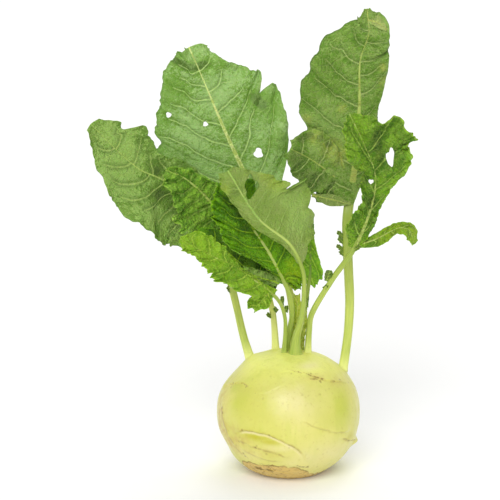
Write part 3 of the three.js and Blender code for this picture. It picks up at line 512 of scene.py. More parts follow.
looks = {
    "far_left": {
        "veins": 6, "pucker": 0.7, "frill": 0.9, "fine": 160, "teeth": 0.04, "ribWide": 0.6, "bump": 0.7,
        "scallop": (0.35, 0.3), "edge": 0.2, "rim": 0.4,
        "top": (150, 185, 90), "deep": (100, 140, 40), "patch": (160, 190, 90), "vein": (175, 200, 105),
        "rib": (185, 210, 105), "under": (180, 200, 120), "underDeep": (155, 180, 90),
        "underVein": (195, 210, 130), "yellow": (205, 210, 80),
        "lines": [[0.1, 0.15, 0.2, -0.85], [0.2, 0.27, 0.36, -0.75], [0.29, 0.38, 0.48, -0.7],
            [0.39, 0.48, 0.61, -0.8], [0.5, 0.57, 0.7, -0.7], [0.64, 0.7, 0.8, -0.7],
            [0.78, 0.82, 0.88, -0.6], [0.18, 0.24, 0.33, 0.8], [0.33, 0.42, 0.56, 0.88],
            [0.48, 0.52, 0.62, 0.75], [0.62, 0.66, 0.74, 0.8], [0.77, 0.81, 0.87, 0.75]],
        "patches": [[-80, 188, 3.5, "deep"], [-79, 184, 3.5, "dark"], [-78, 171, 4.5, "dark"],
            [-74, 166, 4.5, "deep"], [-104, 196, 12, "grey"], [-96, 190, 9, "grey"]],
    },
    "back_left": {
        "veins": 8, "pucker": 0.8, "frill": 0.7, "fine": 200, "teeth": 0.018, "ribWide": 0.85, "bump": 0.6,
        "edge": 0.2, "rim": 0.45, "scallop": (0.1, 0.1),
        "top": (160, 195, 115), "deep": (115, 160, 50), "patch": (170, 205, 120), "vein": (195, 225, 135),
        "rib": (225, 240, 150), "under": (195, 215, 145), "underDeep": (170, 195, 115),
        "underVein": (205, 220, 145), "yellow": (220, 225, 95),
        "lines": [[0.02, 0.12, 0.12, -0.9], [0.1, 0.25, 0.23, -0.9], [0.24, 0.37, 0.34, -0.96],
            [0.39, 0.48, 0.46, -0.9], [0.52, 0.58, 0.55, -0.88], [0.68, 0.68, 0.63, -0.86],
            [0.76, 0.77, 0.71, -0.8], [0.86, 0.83, 0.78, -0.9], [0.02, 0.1, 0.14, 0.9],
            [0.12, 0.24, 0.32, 0.85], [0.3, 0.4, 0.42, 0.8], [0.44, 0.52, 0.54, 0.75],
            [0.6, 0.62, 0.62, 0.65], [0.73, 0.74, 0.8, 0.65], [0.86, 0.87, 0.9, 0.7]],
        "dents": [[-53, 257, 9, 5, -2.4]],
        # the row of dark patches at z 245 to 250 is painted shadow beneath the curled-over tip
        "patches": [[-68, 250, 2.5, "dark"], [-64, 248, 3, "dark"], [-61, 246, 3, "dark"],
            [-57, 245, 3, "dark"], [-53, 246, 3, "dark"], [-50, 247, 3, "dark"],
            [-20, 226, 4, "dark"], [-16, 222, 4, "dark"], [-8, 218, 6, "deep"], [-5, 200, 7, "deep"],
            [-68, 234, 7, "deep"], [-46, 226, 8, "grey"]],
    },
    "inner_left": {
        "veins": 6, "pucker": 2, "frill": 1.2, "fine": 150, "teeth": 0.05, "ribWide": 0.7, "bump": 1,
        "top": (145, 195, 55), "deep": (95, 150, 25), "patch": (180, 225, 85), "vein": (165, 200, 90),
        "rib": (185, 215, 95), "under": (210, 240, 95), "underDeep": (170, 210, 65),
        "underVein": (195, 220, 110), "yellow": (210, 220, 45),
        "patches": [[-66, 164, 5, "deep"], [-66, 172, 5, "deep"], [-55, 162, 7, "grey"], [-56, 171, 6,
            "grey"]],
    },
    "low_left": {
        "veins": 6, "pucker": 1.7, "frill": 1.5, "fine": 150, "teeth": 0.07,
        "ribWide": 0.5, "bump": 0.7, "edge": 0.8, "net": 0.22,
        "top": (135, 180, 25), "deep": (110, 160, 15), "patch": (160, 200, 40), "vein": (180, 210, 75),
        "rib": (175, 205, 75), "under": (170, 200, 60), "underDeep": (145, 180, 40),
        "underVein": (185, 205, 90), "yellow": (190, 205, 35),
        "patches": [[-52, 144, 7, "grey"], [-58, 147, 6, "grey"], [-45, 142, 5, "grey"], [-36, 134, 7,
            "deep"],
            [-28, 132, 6, "deep"]],
    },
    "centre_left": {
        "scallop": (0.45, 0.2), "edge": 0.85,
        "veins": 7, "pucker": 1, "frill": 1.6, "fine": 150, "teeth": 0.05, "ribWide": 0.75, "bump": 0.8,
        "top": (105, 165, 0), "deep": (70, 125, 0), "patch": (135, 190, 5), "vein": (155, 200, 35),
        "rib": (165, 205, 45), "under": (155, 190, 85), "underDeep": (130, 170, 65),
        "underVein": (180, 205, 110), "yellow": (175, 205, 0),
        "lines": [[0.07, 0.12, 0.14, -0.8], [0.2, 0.29, 0.33, -0.8], [0.35, 0.43, 0.45, -0.88],
            [0.5, 0.58, 0.6, -0.8], [0.65, 0.7, 0.72, -0.8], [0.79, 0.82, 0.84, -0.7],
            [0.02, 0.05, 0.08, 0.9], [0.17, 0.23, 0.3, 0.6], [0.31, 0.37, 0.42, 0.7],
            [0.46, 0.51, 0.56, 0.8], [0.62, 0.66, 0.7, 0.8], [0.79, 0.81, 0.84, 0.7]],
        "patches": [[-37, 174, 3.5, "dark"], [-34, 168, 3.5, "dark"], [-30, 162, 3.5, "dark"],
            [-26, 154, 3.5, "dark"], [-40, 147, 3.5, "grey"],
            [-36, 143, 3.5, "grey"], [-31, 138, 3.5, "grey"], [-26, 134, 3.5, "grey"],
            [-18, 127, 4, "grey"], [2, 132, 4, "yellow"], [2, 124, 6, "yellow"],
            [6, 126, 8, "yellow"]],
    },
    "front": {
        "veins": 6, "pucker": 0.6, "frill": 1.1, "fine": 160, "teeth": 0.02, "ribWide": 0.9, "bump": 0.6,
        "top": (100, 140, 40), "deep": (75, 120, 25), "patch": (125, 160, 60), "vein": (150, 180, 90),
        "rib": (160, 195, 90), "under": (150, 170, 85), "underDeep": (130, 160, 60),
        "underVein": (155, 185, 90), "yellow": (160, 185, 60),
        "lines": [[0.13, 0.17, 0.27, -0.85], [0.24, 0.28, 0.36, -0.85], [0.35, 0.38, 0.47, -0.8],
            [0.48, 0.52, 0.6, -0.7], [0.62, 0.66, 0.72, -0.7], [0.77, 0.8, 0.85, -0.7],
            [0.05, 0.1, 0.15, 0.8], [0.2, 0.24, 0.3, 0.8], [0.35, 0.4, 0.45, 0.8],
            [0.5, 0.55, 0.6, 0.8], [0.66, 0.7, 0.74, 0.8], [0.82, 0.85, 0.88, 0.7]],
        "patches": [[-38, 180, 4, "yellow"], [-6, 182, 7, "yellow"], [-2, 175, 8, "grey"], [4, 170, 6,
            "grey"], [6, 158, 8, "grey"],
            [-32, 179, 4, "deep"], [8, 183, 6, "grey"], [-14, 186, 4, "yellow"],
            [0, 178, 6, "grey"], [-9, 181, 5, "yellow"]],
    },
    "inner_right": {
        "scallop": (0.5, 0.3), "veins": 5, "pucker": 0.9, "frill": 1.0, "fine": 100, "teeth": 0.05,
            "ribWide": 0.3,
        "bump": 0.5, "stalkRib": (112, 146, 44),
        "top": (130, 185, 20), "deep": (100, 160, 10), "patch": (175, 215, 40), "vein": (175, 210, 75),
        "rib": (155, 195, 55), "under": (190, 215, 65), "underDeep": (155, 190, 45),
        "underVein": (190, 210, 90), "yellow": (210, 220, 30),
        "lines": [[0.05, 0.1, 0.15, -0.9], [0.25, 0.32, 0.38, -0.9], [0.45, 0.52, 0.58, -0.9],
            [0.66, 0.72, 0.77, -0.8], [0.1, 0.06, 0.02, 0.8], [0.42, 0.25, 0.1, 0.95],
            [0.55, 0.5, 0.45, 0.9], [0.75, 0.76, 0.78, 0.8]],
    },
    "front_right": {
        "scallop": (0.4, 0.2), "veins": 8, "pucker": 2.1, "frill": 1.7, "fine": 200, "teeth": 0.05,
        "ribWide": 0.8, "bump": 0.9, "edge": 0.9, "net": 0.22,
        "top": (120, 170, 25), "deep": (75, 125, 5), "patch": (150, 190, 45), "vein": (180, 210, 95),
        "rib": (200, 220, 115), "under": (175, 200, 65), "underDeep": (145, 180, 45),
        "underVein": (185, 210, 90), "yellow": (175, 205, 25),
        "lines": [[0.08, 0.13, 0.18, -0.8], [0.24, 0.3, 0.35, -0.8], [0.4, 0.46, 0.52, -0.8],
            [0.6, 0.78, 0.93, -0.5], [0.12, 0.17, 0.22, 0.8], [0.28, 0.34, 0.38, 0.8],
            [0.42, 0.48, 0.52, 0.85], [0.56, 0.62, 0.66, 0.85], [0.7, 0.76, 0.82, 0.8]],
        # the dark patches, and the deep ones round them, are painted shade in the folds of the blade and wing
        "patches": [[51, 209, 3.5, "dark"], [52, 202, 3, "dark"], [53, 196, 3, "dark"],
            [41, 180, 2.5, "dark"], [44, 181, 2.5, "dark"], [49, 168, 3.5, "dark"],
            [53, 211, 5, "deep"], [53, 202, 6, "deep"], [57, 190, 5, "deep"],
            [64, 196, 5, "deep"], [70, 207, 5, "deep"], [58, 174, 9, "grey"],
            [64, 166, 6, "grey"], [50, 170, 5, "deep"], [40, 205, 5, "grey"],
            [40, 216, 5, "grey"], [72, 194, 3.5, "grey"], [69, 189, 3.5, "grey"],
            [65, 184, 3.5, "grey"], [61, 179, 3.5, "grey"]],
    },
    "back_right": {
        "veins": 8, "pucker": 1.2, "frill": 0.8, "fine": 200, "teeth": 0.014, "ribWide": 0.8,
            "ribFrom": 0.12, "bump": 0.8,
        "edge": 0.1, "rim": 0.7, "net": 0.24, "scallop": (0.6, 0.1),
        "top": (140, 175, 80), "deep": (100, 145, 30), "patch": (155, 185, 85), "vein": (190, 210, 125),
        "rib": (195, 210, 105), "under": (185, 205, 115), "underDeep": (155, 185, 85),
        "underVein": (190, 205, 120), "yellow": (195, 200, 90),
        "lines": [[0.08, 0.1, 0.1, -0.9], [0.2, 0.23, 0.21, -0.9], [0.34, 0.39, 0.39, -0.97],
            [0.49, 0.52, 0.49, -0.9], [0.6, 0.62, 0.62, -0.85], [0.7, 0.71, 0.67, -0.86],
            [0.8, 0.8, 0.78, -0.8], [0.89, 0.89, 0.87, -0.7], [0.15, 0.17, 0.15, 0.9],
            [0.3, 0.32, 0.3, 0.9], [0.43, 0.45, 0.43, 0.9], [0.55, 0.57, 0.58, 0.9],
            [0.64, 0.65, 0.64, 0.8], [0.71, 0.72, 0.69, 0.93], [0.82, 0.83, 0.81, 0.9]],
        "patches": [[11, 214, 3, "yellow"], [32, 220, 3, "yellow"], [56, 245, 2.5, "yellow"],
            [16, 204, 5, "yellow"], [26, 196, 7, "yellow"], [32, 192, 6, "yellow"], [56, 268, 8, "grey"],
            [22, 238, 9, "deep"], [30, 250, 8, "deep"], [52, 222, 7, "deep"],
            [14, 232, 6, "deep"], [11, 224, 5, "deep"], [20, 247, 5, "deep"], [55, 231, 4, "deep"],
                [58, 236, 4, "yellow"],
            [38, 262, 6, "deep"], [34, 256, 4, "grey"],
            [49, 262, 2.5, "deep"], [53, 264, 2.5, "deep"], [57, 265, 2.5, "deep"]],
    },
}


# stalk radius: a flared foot, an even stalk, then a midrib that tapers up the blade
def stalkRadius(plan, t, length):
    flareLength = plan.get("flareLength", leafForm["flareLength"])
    flare = plan["flare"] * np.exp(-np.maximum(t, 0) * length / flareLength)
    u = np.clip(t / plan["bladeFrom"], 0, 1)
    even = plan["stalk"][0] + (plan["stalk"][1] - plan["stalk"][0]) * u * u * (3 - 2 * u)
    up = np.maximum(t - plan["bladeFrom"], 0) / (1 - plan["bladeFrom"])
    return np.maximum((even + flare) * (1 - up) ** plan.get("thins", 1.0), leafForm["leastRadius"])


# the way a plan's upper side faces at t, square to the tangent
def facingAt(plan, t, tangent):
    facing = np.stack([valueAlong([v[k] for v in plan["facing"]], t) for k in range(3)], -1)
    return unit(facing - (facing * tangent).sum(-1, keepdims=True) * tangent)


# Blade surface at t up the blade and s from -1, the left margin, to 1. A row leaves the midrib,
# leans forward by its sweep, rises with the fold and ripples towards the margin. Teeth, notches and
# frill change its reach and its lift. Returns points, the facing, and the place on the flat blade.
def bladeSurface(plan, curve, start, t, s, look=None, seed=1):
    place = start + (1 - start) * t
    centre, tangent = curveAt(curve, place)
    normal = facingAt(plan, t, tangent)
    across = np.cross(tangent, normal)
    right = s > 0
    share = np.abs(s)
    steps = plan["rows"] * t
    reach = np.where(right, valueAlong(plan["right"]["reach"], t), valueAlong(plan["left"]["reach"], t))
    scallop = np.where(right, *(look or {}).get("scallop", (1.0, 1.0))[::-1])
    tooth = 1 + 0.05 * scallop * np.sin(2 * np.pi * (steps / 3 + 0.3))
    tooth += 0.04 * np.sin(5 * t + np.where(right, 5, -5))
    frill = look["frill"] * plan.get("calm", 1.0) if look else 0.0
    teeth = look["teeth"] * plan.get("calm", 1.0) if look else 0.0
    saw = np.abs(np.sin(steps * 1.7 + wander(steps * 0.9, seed) + right)) ** 0.7 - 0.7
    tooth += teeth * (saw + 0.6 * wander(steps * 2.3 + 9 * right, seed + 3)) * share**4
    for notch in plan.get("notches", []):
        dip = notch["depth"] * np.exp(-(((t - notch["at"]) / notch["wide"]) ** 2))
        tooth = np.where((notch["side"] == "right") == right, tooth * (1 - dip), tooth)
    reach = reach * tooth
    reach = np.maximum(reach, (0.8 + 0.5 * plan.get("stalk", [1, 1])[1]) * (1 - 0.7 * t**12))
    roll = np.zeros_like(t)
    curlStart = leafForm["curlStart"]
    begin = np.full_like(t, curlStart)
    for curl in plan.get("curls", []):
        near = np.exp(-(((t - curl["at"]) / curl["wide"]) ** 2)) * ((curl["side"] == "right") == right)
        roll += curl["turn"] * near
        begin -= (curlStart - curl.get("start", curlStart)) * near
    past = np.maximum(share - begin, 0)
    angle = roll * past / (1 - begin) + 1e-6
    out = reach * (share - past + past * np.sin(angle) / angle)
    curled = reach * past * (1 - np.cos(angle)) / angle
    sweep = np.where(right, valueAlong(plan["right"]["sweep"], t), valueAlong(plan["left"]["sweep"], t))
    sweep = np.radians(sweep) * np.minimum(0.35 + share, 1)
    folds = plan.get("fold", [4, 4])
    fold = np.radians(np.where(right, folds[1], folds[0]))
    phase = np.where(right, 0.8, 2.4)
    waves = 2 * np.pi * plan.get("waves", 2)
    lift = plan.get("wave", 0.5) * share**2 * np.sin(waves * t + phase)
    lift += frill * share**5 * np.sin(waves * 2.7 * t + 2 * phase + 1.4 * wander(steps, seed + 5))
    lift += 0.5 * frill * share**8 * np.sin(waves * 6.1 * t + 3 * phase)
    lift += out * np.cos(sweep) * np.sin(fold) + curled
    side = np.where(right, 1.0, -1.0) * out * np.cos(sweep)
    ahead = out * np.sin(sweep) * share
    point = centre + across * (side * np.cos(fold))[..., None]
    point += tangent * ahead[..., None] + normal * lift[..., None]
    return point, normal, np.stack([side, place * curve[2] + ahead], -1)


# Phase of the side veins: 0 on the first vein of a side, 1 on the next and so on, linear between
# neighbours. A vein is [t at the midrib, t halfway, t at its end, s at its end]. Also the half-width
# in mm, which falls from the midrib to the vein's end.
def veinPhase(veins, t, s):
    phase = np.zeros_like(t)
    width = np.zeros_like(t)
    for side in (-1, 1):
        lines = sorted(vein for vein in veins if vein[3] * side > 0)
        share = np.abs(s)
        spots, widths = [], []
        for root, middle, end, reach in lines:
            u = share / abs(reach)
            u = np.minimum(u, 1) + 0.3 * np.maximum(u - 1, 0)
            spots.append(root + u * (4 * middle - 3 * root - end) + u * u * (2 * root + 2 * end - 4 * middle))
            beyond = 0.1 * (share > abs(reach))
            widths.append(0.34 * (1 - 0.4 * root) * np.clip(1 - 0.72 * share / abs(reach), 0, 1) - beyond)
        here = np.full_like(t, -0.5)
        wide = widths[0].copy()
        for k in range(len(spots)):
            before = spots[k - 1] if k else 2 * spots[0] - spots[1]
            gap = np.maximum(spots[k] - before, 0.01)
            f = np.clip((t - before) / gap, 0, 1)
            here += f if k else np.maximum(f, 0.5) - 0.5
            if k:
                wide += f * (widths[k] - widths[k - 1])
        gap = np.maximum(spots[-1] - spots[-2], 0.01)
        here += np.clip((t - spots[-1]) / gap, 0, 0.5)
        mine = (s > 0) if side > 0 else (s <= 0)
        phase = np.where(mine, here, phase)
        width = np.where(mine, wide, width)
    return phase, width


# side veins at even steps for a blade whose own aren't listed
def evenVeins(count, seed):
    rng = np.random.default_rng(seed)
    veins = []
    for side in (-1, 1):
        for i in range(count):
            root = (i + (0.2 if side < 0 else 0.6)) * 0.92 / count
            middle, end = root + rng.uniform(0.02, 0.06), root + rng.uniform(0.02, 0.09)
            veins.append([root, middle, end, side * rng.uniform(0.8, 0.95)])
    return veins


# One sheet of a leaf: the blade surface with its veins sunk above and raised below and the
# flesh puckered up between them, given two faces and a rim.
def bladeSheet(plan, curve, start, look, seed, scale=1.0):
    rows = int(look["fine"] * scale)
    half = int(look["fine"] * 0.3 * scale ** 0.5)
    steps = np.linspace(0, 1, half + 1)[1:]
    first = leafForm["firstStep"]
    steps = np.r_[first, steps * (1 - first) + first]
    t, s = np.meshgrid(np.linspace(0, 1, rows), np.r_[-steps[::-1], 0, steps], indexing="ij")
    columns = t.shape[1]
    point, normal, flat = bladeSurface(plan, curve, start, t, s, look, seed)
    if start > 0 and "lines" in look:
        veins = look["lines"]
    else:
        veins = evenVeins(max(int(look["veins"] * scale), 3), seed)
    bent = t + 0.006 * wander(flat[..., 0] * 0.25, seed + 11)
    phase, width = veinPhase(veins, bent, s)
    toward = np.abs(phase - np.round(phase))
    stepDown = np.linalg.norm(np.gradient(flat, axis=0), axis=-1)
    stepAcross = np.linalg.norm(np.gradient(flat, axis=1), axis=-1)
    downSlope = np.gradient(phase, axis=0) / np.maximum(stepDown, 1e-3)
    acrossSlope = np.gradient(phase, axis=1) / np.maximum(stepAcross, 1e-3)
    acrossSlope = np.where(np.abs(s) < 0.03, 0, acrossSlope)
    slope = np.clip(np.hypot(downSlope, acrossSlope), 0.015, 1.0)
    near = toward / slope
    rib = 0.45 * (1 - 0.8 * t)
    if "stalk" in plan:
        rib = look.get("ribWide", 0.9) * stalkRadius(plan, start + (1 - start) * t, curve[2])
        rib = np.where(t < look.get("ribFrom", 0.0), -0.6, rib)
    near = np.minimum(near - width, np.abs(flat[..., 0]) - rib)
    lateral = np.gradient(point, axis=1)
    forward = np.gradient(point, axis=0)
    face = unit(np.cross(lateral, forward))
    face *= np.sign((face * normal).sum(-1, keepdims=True) + 1e-9)
    calm = np.clip(1.15 - np.abs(s) ** 6, 0, 1)
    puff = leafForm["puffHeight"] * (1 - np.exp(-((np.maximum(near, 0) / leafForm["puffReach"]) ** 2)))
    puff += 0.45 * wander(flat[..., 0] * 0.35 + 2 * wander(flat[..., 1] * 0.21, seed + 7), seed + 8)
    puff += 0.3 * wander(flat[..., 1] * 0.9 + 2 * wander(flat[..., 0] * 0.5, seed + 9), seed + 10)
    puff *= look["pucker"] * plan.get("calm", 1.0) * calm * np.clip(t * 8, 0, 1)
    puff *= np.clip((1 - t) * 8 + 0.2, 0, 1)
    for x, z, wide, tall, deep in look.get("dents", []):
        puff += deep * np.exp(-(((point[..., 0] - x) / wide) ** 2) - ((point[..., 2] - z) / tall) ** 2)
    ridge = leafForm["ridgeHeight"] * np.exp(-((np.maximum(near, 0) / leafForm["ridgeReach"]) ** 2))
    ridge *= np.clip(width * 4, 0, 1)
    thick = leafForm["thickness"] * (0.35 + 0.65 * np.clip((1 - np.abs(s)) * 12, 0, 1))
    thick *= 0.35 + 0.65 * np.clip((1 - t) * 30, 0, 1)
    upper = point + face * (puff + thick / 2)[..., None]
    lower = point + face * (puff - thick / 2 - ridge)[..., None]
    keep = np.ones((rows - 1, columns - 1), bool)
    middle = point[..., [0, 2]]
    for number, hole in enumerate(plan.get("holes", [])):
        x, z, wide, tall = hole[:4]
        power = hole[4] if len(hole) > 4 else 2.0  # below 2 the hole has corners
        away = (middle - [x, z]) / [wide, tall]
        turn = np.arctan2(away[..., 1], away[..., 0])
        ragged = 1 + 0.14 * np.sin(3 * turn + seed + number) + 0.08 * np.sin(5 * turn + 2 * number)
        radius = (np.abs(away) ** power).sum(-1) ** (1 / power) / ragged
        cell = 0.75 / min(wide, tall)
        rim = np.abs(radius - 1) < cell
        shift = np.zeros_like(point)
        pull = (away / np.maximum(radius, 1e-6)[..., None] - away) * [wide, tall]
        shift[..., 0], shift[..., 2] = pull[..., 0], pull[..., 1]
        upper = upper + shift * rim[..., None]
        lower = lower + shift * rim[..., None]
        core = radius < 1
        allRim = core | rim
        inner = core & ~rim
        keep &= ~(inner[:-1, :-1] | inner[1:, :-1] | inner[:-1, 1:] | inner[1:, 1:])
        keep &= ~((core[:-1, :-1] & core[1:, 1:]) & (allRim[1:, :-1] & allRim[:-1, 1:]))
    quads = gridQuads(rows, columns, keep)
    lowerQuads = quads[:, ::-1] + rows * columns
    walls = rimQuads(columns, keep, rows * columns)
    points = np.concatenate([upper.reshape(-1, 3), lower.reshape(-1, 3)])
    uv = np.tile(flat.reshape(-1, 2) / 100 + [0.5, 0], (2, 1))
    tone = np.tile(np.stack([phase, slope, width, np.abs(s)], -1).reshape(-1, 4), (2, 1))
    yellow, grey = np.zeros_like(t), np.zeros_like(t)
    # Patches: grey is the waxy grey-green and yellow a yellowed patch, both the leaf's own colour; deep
    # darkens towards the deeper green, partly the leaf's own colour and partly painted shade; shade and dark
    # are painted shadow, dark the deepest, in folds, under curls and along tucked edges.
    for x, z, radius, kind in look.get("patches", []) + plan.get("patches", []):
        blot = np.exp(-(((point[..., 0] - x) ** 2 + (point[..., 2] - z) ** 2) / radius**2) ** 1.5)
        if kind == "yellow":
            yellow = np.maximum(yellow, blot)
        else:
            grey += blot * {"grey": 1.0, "deep": -1.0, "shade": -1.7, "dark": -2.6}[kind]
    mark = np.tile(np.stack([np.zeros_like(t), rib, yellow, grey], -1).reshape(-1, 4), (2, 1))
    mark[rows * columns :, 0] = 1
    return points, np.concatenate([quads, lowerQuads, walls]), uv, tone, mark


# several sheets as one mesh
def joinSheets(sheets):
    counts = np.cumsum([0] + [len(sheet[0]) for sheet in sheets])
    faces = np.concatenate([sheet[1] + count for sheet, count in zip(sheets, counts)])
    return (np.concatenate([sheet[0] for sheet in sheets]), faces, *[
        np.concatenate([sheet[k] for sheet in sheets]) for k in (2, 3, 4)])


# A stalk and its midrib: a tube along the spine with a channel down its upper side, faint ribs and
# a wide foot. Along the blade it sinks towards the underside. Its tone holds the direction round
# the tube, the place along it and the share on the blade.
def stalkSurface(plan, curve, seed):
    around, rings = leafForm["stalkAround"], leafForm["stalkRings"]
    end = plan["bladeFrom"] + leafForm["midribEnd"] * (1 - plan["bladeFrom"])
    t = np.linspace(0, end, rings)
    angle = np.linspace(0, 2 * np.pi, around, endpoint=False)
    centre, tangent = curveAt(curve, t)
    up = np.clip((t - plan["bladeFrom"]) / (1 - plan["bladeFrom"]), 0, 1)
    normal = facingAt(plan, up, tangent)
    across = np.cross(tangent, normal)
    radius = stalkRadius(plan, t, curve[2])
    sink = valueAlong(plan.get("sink", [0.45, 0.45]), up) * radius
    sink = sink * np.clip((t - plan["bladeFrom"] + 0.02) / 0.06, 0, 1)
    centre = centre - normal * sink[:, None]
    turn = np.abs((angle - np.pi / 2 + np.pi) % (2 * np.pi) - np.pi)
    shape = 1 - leafForm["groove"] * np.exp(-((turn / 0.55) ** 2))
    shape = shape + 0.07 * np.exp(-(((turn - 0.95) / 0.35) ** 2))
    shape = shape[None, :] + 0.018 * np.sin(9 * angle[None, :] + 1.5 * wander(t * 9, seed)[:, None])
    shape = shape + 0.02 * wander(t * 40, seed + 2)[:, None]
    spread = 1 + 0.35 * np.exp(-t * curve[2] / 6)[:, None]
    r = radius[:, None] * shape
    r[-1] *= 0.4
    point = centre[:, None] + across[:, None] * (r * np.cos(angle) * spread)[..., None]
    point = point + normal[:, None] * (r * np.sin(angle))[..., None]
    quads = gridQuads(rings, around, wrap=True)[:, ::-1]
    points = np.concatenate([point.reshape(-1, 3), centre[:1], centre[-1:] + tangent[-1:] * 0.3])
    k = np.arange(around)
    foot = np.stack([np.full(around, rings * around), k, (k + 1) % around], -1)
    last = (rings - 1) * around
    tip = np.stack([np.full(around, rings * around + 1), last + (k + 1) % around, last + k], -1)
    aside, front = 0.5 + 0.5 * np.cos(angle)[None, :], 0.5 + 0.5 * np.sin(angle)[None, :]
    tone = np.stack(np.broadcast_arrays(aside, front, (t * curve[2] / 100)[:, None], up[:, None]), -1)
    tone = tone.reshape(-1, 4)
    tone = np.concatenate([tone, tone[:1], tone[-1:]])
    return points, [quads, foot, tip], tone


# Small leaves on the stalks: foot, tip and half-width.
axilLeaves = [
    {"foot": [-4, -2.5, 103.4], "tip": [-3.7, -4, 109.4], "half": 1.2},
    {"foot": [-1.6, -3, 99.4], "tip": [-1.2, -4.5, 103.6], "half": 1.2},
    {"foot": [-6.6, 1, 99], "tip": [-8.4, -0.5, 101.6], "half": 1.0},
    {"foot": [-10.2, 8, 94], "tip": [-12.6, 6.5, 96.2], "half": 0.9},
    {"foot": [-33.8, 14.6, 107], "tip": [-36.8, 13, 111.4], "half": 1.2},
    {"foot": [22.6, -4.5, 119], "tip": [24.6, -7, 126], "half": 2.3},
    {"foot": [21, -4, 114], "tip": [23.2, -6, 116.8], "half": 1.0},
    {"foot": [34.6, 16.5, 141], "tip": [29.8, 14.5, 145.4], "half": 1.4},
    {"foot": [34.6, 16.5, 137.6], "tip": [30.4, 14.8, 141.4], "half": 1.3},
    {"foot": [34.4, 16.4, 133.4], "tip": [29.6, 14.8, 136.8], "half": 1.3},
    {"foot": [34.4, 16.2, 130.6], "tip": [31.6, 15, 133.4], "half": 1.4},
    {"foot": [38.6, -7, 138.4], "tip": [42.4, -9.5, 141.8], "half": 1.2},
    {"foot": [10.8, 3, 101], "tip": [11.9, 2, 114.5], "half": 0.9},
]

youngLeaves = [
    {"spine": [[5.2, 3.5, 70], [5, 2.6, 88], [5.6, 1.8, 99], [5.2, 1, 109]], "half": [1.0, 2.2, 3.4, 2.4]},
    {"spine": [[8.2, 4.5, 70], [9.2, 3.4, 86], [10, 2.4, 93], [10.2, 2, 99]], "half": [0.6, 1.2, 1.8, 1.4]},
    {"spine": [[3.4, 3, 70], [2.9, 2, 82], [2.8, 1.4, 90], [2.6, 0.8, 97]], "half": [0.7, 1.0, 1.6, 1.0]},
]


# a plan for a small waved leaf on its own spine
def smallPlan(half, facing):
    side = {"reach": half, "sweep": [10, 20, 30, 40]}
    return {"left": side, "right": side, "facing": facing, "rows": 12, "wave": 0.7, "waves": 3}


# display colour from 0 to 255 as the linear colour a shader takes
def paint(colour, alpha=1.0):
    c = np.array(colour) / 255
    linear = np.where(c <= 0.04045, c / 12.92, ((c + 0.055) / 1.055) ** 2.4)
    return (*[float(v) for v in linear], alpha)


# a node's inputs: sockets are linked, and plain values are set
def fillInputs(tree, node, inputs):
    for key, value in inputs.items():
        if isinstance(value, bpy.types.NodeSocket):
            tree.links.new(value, node.inputs[key])
        else:
            node.inputs[key].default_value = value


# a new node of a kind with its settings and inputs
def addNode(tree, kind, inputs=None, **settings):
    node = tree.nodes.new(kind)
    for key, value in settings.items():
        setattr(node, key, value)
    fillInputs(tree, node, inputs or {})
    return node


# a and b mixed by the factor: all a at 0, all b at 1
def mixColour(tree, factor, a, b):
    return addNode(tree, "ShaderNodeMix", {0: factor, 6: a, 7: b}, data_type="RGBA").outputs[2]


# a colour given from 0 to 255, laid over a base by the factor
def coat(tree, base, factor, colour):
    return mixColour(tree, factor, base, paint(colour))


# value's share u of the way from low to high, eased as 3uu - 2uuu, on the range start to end
def spread(tree, value, low, high, start=0.0, end=1.0):
    inputs = {"Value": value, "From Min": low, "From Max": high, "To Min": start, "To Max": end}
    node = addNode(tree, "ShaderNodeMapRange", inputs, interpolation_type="SMOOTHSTEP")
    return node.outputs["Result"]


# one step of arithmetic on a and b
def calc(tree, operation, a, b=0.0):
    return addNode(tree, "ShaderNodeMath", {0: a, 1: b}, operation=operation).outputs[0]


# a times b
def times(tree, a, b):
    return calc(tree, "MULTIPLY", a, b)


# a plus b
def plus(tree, a, b):
    return calc(tree, "ADD", a, b)


# a less b
def less(tree, a, b):
    return calc(tree, "SUBTRACT", a, b)


# fractal noise, about 0 to 1, with scale cells along one unit of the vector
def noise(tree, vector, scale, detail=4.0, roughness=0.55):
    inputs = {"Vector": vector, "Scale": scale, "Detail": detail, "Roughness": roughness}
    return addNode(tree, "ShaderNodeTexNoise", inputs).outputs["Fac"]


# a new material, its node tree and its main shader
def newMaterial(name):
    material = bpy.data.materials.new(name)
    material.use_nodes = True
    tree = material.node_tree
    shader = tree.nodes["Principled BSDF"]
    return material, tree, shader


leafFinish = {
    "roughness": 0.44,
    "glow": 0.2,  # light carried through the blade
    "glowColour": (0.5, 1.0, 0.2),
    "glowDepth": 0.0012,  # metres
    "shine": 0.35,
    "netScale": 30.0,  # cells of the fine net in 100 mm
    "branchGap": 6.5,  # mm between the branches of a side vein
    "bumpDepth": 0.0011,
}
